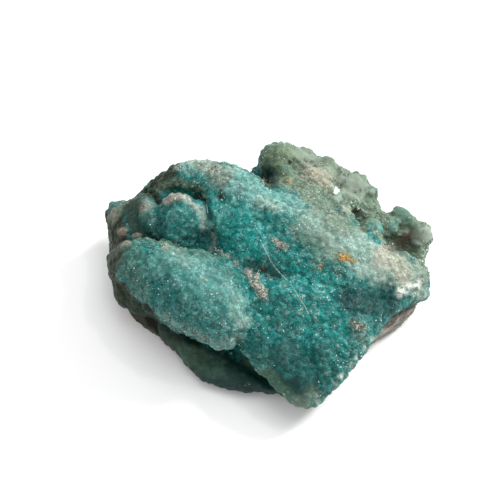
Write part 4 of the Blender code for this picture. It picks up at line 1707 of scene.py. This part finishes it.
@dataclass
class MatrixRock:
    """The broken matrix under the crust, with rough faces and a flat foot.

    Attributes:
        voxel: The skin's grid step, mm.
        smoothing: How many times the solid's facets are relaxed.
        roughness: The height of the broken faces' relief, mm.
        ledges: The beds' lie and thinness, as a matrix from places to the noise's own.
        ledge_size: The size of the beds' broken ledges, mm.
        grit_size: The finer relief's size, mm.
        middle: The share of the relief that counts as level with the solid.
        flat_below: The height below which the relief fades out, mm.
        left_end_tint: The factor that darkens and greens the rock towards its left end.
        left_end_reach: How far the darkening takes to fade out, mm.
    """

    voxel: float = 0.34
    smoothing: int = 3
    roughness: float = 0.45
    ledges: tuple[Triple, Triple, Triple] = ((0.3, 0.0, 0.0), (0.0, 0.3, 0.0), (0.25, 0.2, 1.6))
    ledge_size: float = 1.1
    grit_size: float = 0.7
    middle: float = 0.35
    flat_below: float = 0.6
    left_end_tint: Colour = (0.17, 0.19, 0.14)
    left_end_reach: float = 16.0

    def build(self, finish: RockFinish, groups: GrowthGroups) -> Piece:
        """Builds and dresses the rock.

        Args:
            finish: The rock's finish.
            groups: The shared node groups.

        Returns:
            The rock.
        """
        rock = refined(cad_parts["matrix_rock"], "rock", self.voxel, self.smoothing)
        points, normals = read_points(rock), read_normals(rock)
        lift = np.abs(ripple_at(points @ np.array(self.ledges), self.ledge_size))
        lift += ripple_at(points, self.grit_size) / 2 - self.middle
        foot = np.clip(points[:, 2] / self.flat_below, 0.0, 1.0)
        moved = points + normals * (self.roughness * lift * foot)[:, None]
        moved[:, 2] = np.maximum(moved[:, 2], 0.0)
        write_points(rock, moved)
        set_smooth(rock, False)
        # The rock is darker and greener towards its left end.
        broken = np.clip(points[:, :1] / self.left_end_reach + 0.5, 0.0, 1.0)
        tint = np.array(self.left_end_tint) + (1.0 - np.array(self.left_end_tint)) * broken
        add_tint(rock, tint, np.zeros(len(points)))
        settle(rock, finish.make(groups))
        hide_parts("matrix_rock")
        return rock


LUMP_FORM = Form(
    np.array([(1, 0, 0), (-1, 0, 0), (0, 1, 0), (0, -1, 0), (0, 0, 1), (0, 0, -1)]) * 0.5,
    ((0, 2, 4), (2, 1, 4), (1, 3, 4), (3, 0, 4), (2, 0, 5), (1, 2, 5), (3, 1, 5), (0, 3, 5)),
)


@dataclass(frozen=True)
class Sprinkle:
    """A scatter of grains round one cell of the survey grid, or along a line to another.

    Attributes:
        cell: Where it is, or where the line starts.
        spread: How far it spreads, in cells.
        count: How many grains it has.
        size: The least and the most size of a grain, mm.
        end: Where the line ends.
    """

    cell: Cell
    spread: float
    count: int
    size: Limits
    end: Cell | None = None


@dataclass
class Dirt:
    """One kind of grain on the crust: mineral dirt, or the near-white grains of painted
    highlights.

    Attributes:
        name: The piece's name.
        finish: Its finish.
        sprinkles: Where its grains are.
        seed: Sets where in the sprinkles each one lies.
        lift: How high the grains lie, mm.
        clump: How many grains gather in one clump.
        looseness: How far they stray from it, as a share of the sprinkle's spread.
        shape: The least and the most of a grain's length each way, as a share of its size.
    """

    name: str
    finish: DirtAndGlintFinish
    sprinkles: tuple[Sprinkle, ...]
    seed: int
    lift: float = 0.16
    clump: int = 12
    looseness: float = 0.6
    shape: Limits = (0.6, 1.4)

    def build(self, sight: Sight, surface: Surface, groups: GrowthGroups) -> Piece:
        """Scatters the grains and dresses them.

        Args:
            sight: The survey grid.
            surface: The crust they lie on.
            groups: The shared node groups.

        Returns:
            The piece.
        """
        rng = np.random.default_rng(self.seed)
        centres, axes, sizes = [], [], []
        for sprinkle in self.sprinkles:
            start, end = np.array(sprinkle.cell), np.array(sprinkle.end or sprinkle.cell)
            clumps = max(sprinkle.count // self.clump, 1)
            middles = start + (end - start) * rng.random((clumps, 1))
            middles += rng.normal(size=(clumps, 2)) * sprinkle.spread * min(clumps - 1, 1)
            for _ in range(sprinkle.count):
                column, row = middles[rng.integers(clumps)]
                middle = sight.on(surface, (float(column), float(row)))
                stray = rng.normal(size=3) * sprinkle.spread * self.looseness * sight.step
                if middle is None:
                    continue
                place = surface.nearest(middle[0] + Vector(stray))
                size = rng.uniform(*sprinkle.size)
                centres.append(place[0] + place[1] * self.lift)
                axes.append(place[1])
                sizes.append(size * rng.uniform(*self.shape, 3))
        arrays = (np.array(rows) for rows in (centres, axes, sizes))
        piece = stamp(self.name, LUMP_FORM, *arrays, rng)
        settle(piece, self.finish.make(groups))
        return piece


@dataclass
class Fibre:
    """A lint fibre lying over the crystals.

    Attributes:
        name: The piece's name.
        cells: The cells of the survey grid that it crosses.
        radius: Its radius, mm.
        lift: How high it lies over the crust, mm.
        sides: How many sides it has.
        fineness: How many steps it takes for each cell.
        stiffness: How many times its line is eased.
    """

    name: str
    cells: tuple[Cell, ...]
    radius: float = 0.024
    lift: float = 0.36
    sides: int = 6
    fineness: int = 6
    stiffness: int = 8

    def build(self, sight: Sight, surface: Surface, material: Material) -> Piece:
        """Lays the fibre and dresses it.

        Args:
            sight: The survey grid.
            surface: The crust it lies on.
            material: Its finish.

        Returns:
            The piece.
        """
        path = self.line(sight, surface)
        along = unit_rows(np.gradient(path, axis=0))
        side = unit_rows(np.cross(along, (0.0, 0.0, 1.0)))
        other = np.cross(along, side)
        turns = np.arange(self.sides) * math.tau / self.sides
        rings = [path + self.radius * (math.cos(t) * side + math.sin(t) * other) for t in turns]
        points = np.stack(rings, axis=1).reshape(-1, 3)
        ring = np.arange(self.sides)
        starts = np.arange(len(path) - 1)[:, None] * self.sides
        here, ahead = starts + ring, starts + np.roll(ring, -1)
        walls = np.stack([here, ahead, ahead + self.sides, here + self.sides], axis=-1)
        ends = (ring[::-1], ring + len(points) - self.sides)
        sizes = np.array([4] * here.size + [self.sides] * len(ends))
        corners = np.concatenate([walls.ravel(), *ends])
        piece = object_from_arrays(self.name, points, corners, sizes)
        set_smooth(piece, True)
        settle(piece, material)
        return piece

    def line(self, sight: Sight, surface: Surface) -> np.ndarray:
        """Finds the fibre's middle line over the crust.

        Args:
            sight: The survey grid.
            surface: The crust.

        Returns:
            One row per step, mm.
        """
        places = [sight.on(surface, cell) for cell in self.cells]
        path = np.array([tuple(place[0] + place[1] * self.lift) for place in places if place])
        marks = np.arange(len(path))
        steps = np.linspace(0, marks[-1], self.fineness * len(path))
        path = np.column_stack([np.interp(steps, marks, column) for column in path.T])
        for _ in range(self.stiffness):
            path[1:-1] = path[1:-1] / 2 + (path[:-2] + path[2:]) / 4
        return path


# ---------------------------------------------------------------------------------------------
# The studio
# ---------------------------------------------------------------------------------------------


def aim(obj: Piece, place: Vector, heading: Vector) -> None:
    """Puts a light or a camera in its place and turns it.

    Args:
        obj: The light or camera.
        place: Where it goes, m.
        heading: Which way it looks.
    """
    obj.location = place
    obj.rotation_mode = "QUATERNION"
    obj.rotation_quaternion = heading.to_track_quat("-Z", "Y")


@dataclass(frozen=True)
class Lamp:
    """One soft area light, aimed at the specimen.

    Attributes:
        name: The light's name.
        place: Where it is, m.
        power: Its power, W.
        size: Its width, m.
        colour: Its colour.
    """

    name: str
    place: Triple
    power: float
    size: float
    colour: Colour = (1.0, 1.0, 1.0)

    def add(self) -> None:
        """Adds the light to the scene."""
        data = bpy.data.lights.new(self.name, "AREA")
        data.energy = self.power
        data.size = self.size
        data.color = self.colour
        aim(add_object(self.name, data), Vector(self.place), -Vector(self.place))


@dataclass
class Studio:
    """The pale floor, the soft light and the camera.

    Attributes:
        floor_size: The floor's width, m.
        floor_colour: Its colour.
        floor_roughness: Its roughness.
        sky: The strength of the even light from all round.
        near: The distance from which the camera sees, m.
        lamps: The lights.
    """

    floor_size: float = 1.6
    floor_colour: Colour = (0.95, 0.95, 0.945)
    floor_roughness: float = 0.9
    sky: float = 0.84
    near: float = 0.01
    lamps: tuple[Lamp, ...] = (
        Lamp("key", (0.40, 0.24, 0.36), 4.1, 0.16, (1.0, 0.98, 0.95)),
        Lamp("top", (0.05, 0.10, 0.60), 1.0, 0.40, (0.97, 0.99, 1.0)),
        Lamp("sparkle", (0.22, 0.08, 0.50), 0.2, 0.02),
    )

    def build(self, sight: Sight) -> None:
        """Builds the studio round the specimen.

        Args:
            sight: The line of sight, for the camera.
        """
        self.lay_floor()
        for lamp in self.lamps:
            lamp.add()
        world = bpy.data.worlds.new("soft_sky")
        world.use_nodes = True
        background = world.node_tree.nodes["Background"]
        background.inputs["Color"].default_value = (1.0, 1.0, 1.0, 1.0)
        background.inputs["Strength"].default_value = self.sky
        bpy.context.scene.world = world
        bpy.context.scene.view_settings.view_transform = "Standard"
        self.aim_camera(sight)

    def lay_floor(self) -> None:
        """Lays a plain floor under the specimen."""
        half = self.floor_size / 2 / MM
        points = np.array([(-half, -half, 0), (half, -half, 0), (half, half, 0), (-half, half, 0)])
        floor = object_from_arrays("floor", points, np.arange(4), np.array([4]))
        material, _, shader = new_material("floor")
        shader.inputs["Base Color"].default_value = (*self.floor_colour, 1.0)
        shader.inputs["Roughness"].default_value = self.floor_roughness
        floor.data.materials.append(material)

    def aim_camera(self, sight: Sight) -> None:
        """Sets the camera on the line of sight.

        Args:
            sight: The line of sight, whose grid fills the frame.
        """
        data = bpy.data.cameras.new("camera")
        data.lens = data.sensor_width * sight.distance / (sight.cells * sight.step)
        data.shift_x = -(sight.centre[0] - sight.cells / 2) / sight.cells
        data.shift_y = (sight.centre[1] - sight.cells / 2) / sight.cells
        data.clip_start = self.near
        camera = add_object("camera", data)
        aim(camera, sight.eye() * MM, -sight.back())
        bpy.context.scene.camera = camera


# ---------------------------------------------------------------------------------------------
# Where the dirt, the painted glints and the lint lie, and the build
# ---------------------------------------------------------------------------------------------


LIMONITE = Dirt(
    "limonite_grains",
    DirtAndGlintFinish("limonite", (0.36, 0.13, 0.015), (0.76, 0.50, 0.14)),
    (
        Sprinkle((344, 256), 2.6, 150, (0.10, 0.27)),
        Sprinkle((346, 260), 2.4, 40, (0.10, 0.22), (358, 257)),
        Sprinkle((336, 264), 4.0, 30, (0.08, 0.18)),
        Sprinkle((318, 268), 2.6, 24, (0.10, 0.20)),
        Sprinkle((289, 181), 2.6, 16, (0.12, 0.26)),
        Sprinkle((330, 240), 3.0, 6, (0.10, 0.18)),
    ),
    seed=21,
)
BROWN_SPECKS = Dirt(
    "brown_specks",
    DirtAndGlintFinish("brown_specks", (0.018, 0.015, 0.010), (0.062, 0.048, 0.030)),
    (
        Sprinkle((219, 198), 0.8, 80, (0.2, 0.42), (222, 192)),
        Sprinkle((290, 162), 1.6, 14, (0.2, 0.38)),
        Sprinkle((281, 246), 3.0, 12, (0.14, 0.3)),
        Sprinkle((252, 265), 2.6, 90, (0.10, 0.24), (276, 273)),
        Sprinkle((207, 222), 3.5, 30, (0.10, 0.24), (220, 250)),
        Sprinkle((330, 180), 3.0, 9, (0.14, 0.26)),
        Sprinkle((360, 260), 2.5, 7, (0.12, 0.24)),
        Sprinkle((214, 168), 3.0, 8, (0.12, 0.26)),
        Sprinkle((266, 187), 2.5, 12, (0.16, 0.3)),
        Sprinkle((357, 325), 1.4, 16, (0.10, 0.22)),
    ),
    seed=22,
)
DUST = Dirt(
    "tan_dust",
    DirtAndGlintFinish("tan_dust", (0.44, 0.38, 0.30), (0.74, 0.69, 0.60)),
    (
        Sprinkle((248, 271), 2.0, 230, (0.10, 0.30), (268, 300)),
        Sprinkle((284, 286), 2.2, 60, (0.08, 0.22), (304, 310)),
        Sprinkle((316, 319), 3.0, 26, (0.08, 0.20)),
        Sprinkle((215, 250), 1.7, 90, (0.09, 0.26), (236, 266)),
        Sprinkle((250, 268), 1.6, 26, (0.08, 0.2), (274, 274)),
        Sprinkle((277, 243), 2.2, 70, (0.08, 0.24), (289, 247)),
        Sprinkle((352, 323), 2.0, 60, (0.08, 0.24), (363, 328)),
        Sprinkle((166, 246), 1.8, 34, (0.08, 0.24)),
        Sprinkle((198, 269), 1.4, 26, (0.07, 0.20), (204, 282)),
        Sprinkle((383, 247), 3.0, 110, (0.07, 0.22)),
        Sprinkle((262, 182), 2.6, 60, (0.07, 0.22)),
        Sprinkle((206, 168), 1.8, 44, (0.07, 0.20), (222, 174)),
        Sprinkle((316, 172), 5.0, 90, (0.06, 0.20)),
        Sprinkle((320, 300), 16.0, 60, (0.05, 0.14)),
        Sprinkle((180, 290), 22.0, 60, (0.05, 0.14)),
    ),
    seed=23,
)
# Near-white crystal faces on the glassy lump and two smaller spots: painted highlights where
# glints show.
PAINTED_GLINT_FACETS = Dirt(
    "painted_glint_facets",
    DirtAndGlintFinish("painted_glint_facets", (0.90, 0.92, 0.90), (0.95, 0.95, 0.93), 0.3),
    (
        Sprinkle((336, 191), 1.2, 38, (0.35, 0.75)),
        Sprinkle((189, 200), 0.9, 4, (0.10, 0.20)),
        Sprinkle((358, 208), 0.9, 6, (0.12, 0.3)),
    ),
    seed=24,
    lift=0.3,
)
LINT = DirtAndGlintFinish("lint", (0.46, 0.45, 0.40), (0.66, 0.64, 0.58), 0.6)
FIBRES = (
    Fibre(
        "lint_fibre",
        ((262, 243), (266, 252), (272, 262), (279, 272), (287, 281), (294, 290), (300, 299),
         (305, 307), (309, 315)),
    ),
    Fibre("short_fibre", ((200, 194), (203, 200), (206, 206), (208, 213)), radius=0.03),
)


def report(piece: Piece) -> None:
    """Logs a finished piece and how many faces it has."""
    LOG.info("%s: %d faces", piece.name, len(piece.data.polygons))


def main() -> None:
    """Builds the specimen and its studio."""
    logging.basicConfig(level=logging.INFO, format="%(message)s")
    sight = Sight()
    groups = GrowthGroups(make_mottle(), make_grain())
    Studio().build(sight)
    report(MatrixRock().build(RockFinish(), groups))
    crust = Crust()
    crust.build(sight, CrustFinish(), groups)
    report(crust.skin)
    surface = Surface(crust.skin)
    for piece in Druse().build(crust, groups):
        report(piece)
    # The last of these is not dirt: its near-white grains are painted highlights.
    for dirt in (LIMONITE, BROWN_SPECKS, DUST, PAINTED_GLINT_FACETS):
        report(dirt.build(sight, surface, groups))
    lint = LINT.make(groups)
    for fibre in FIBRES:
        report(fibre.build(sight, surface, lint))


if __name__ == "__main__":
    main()
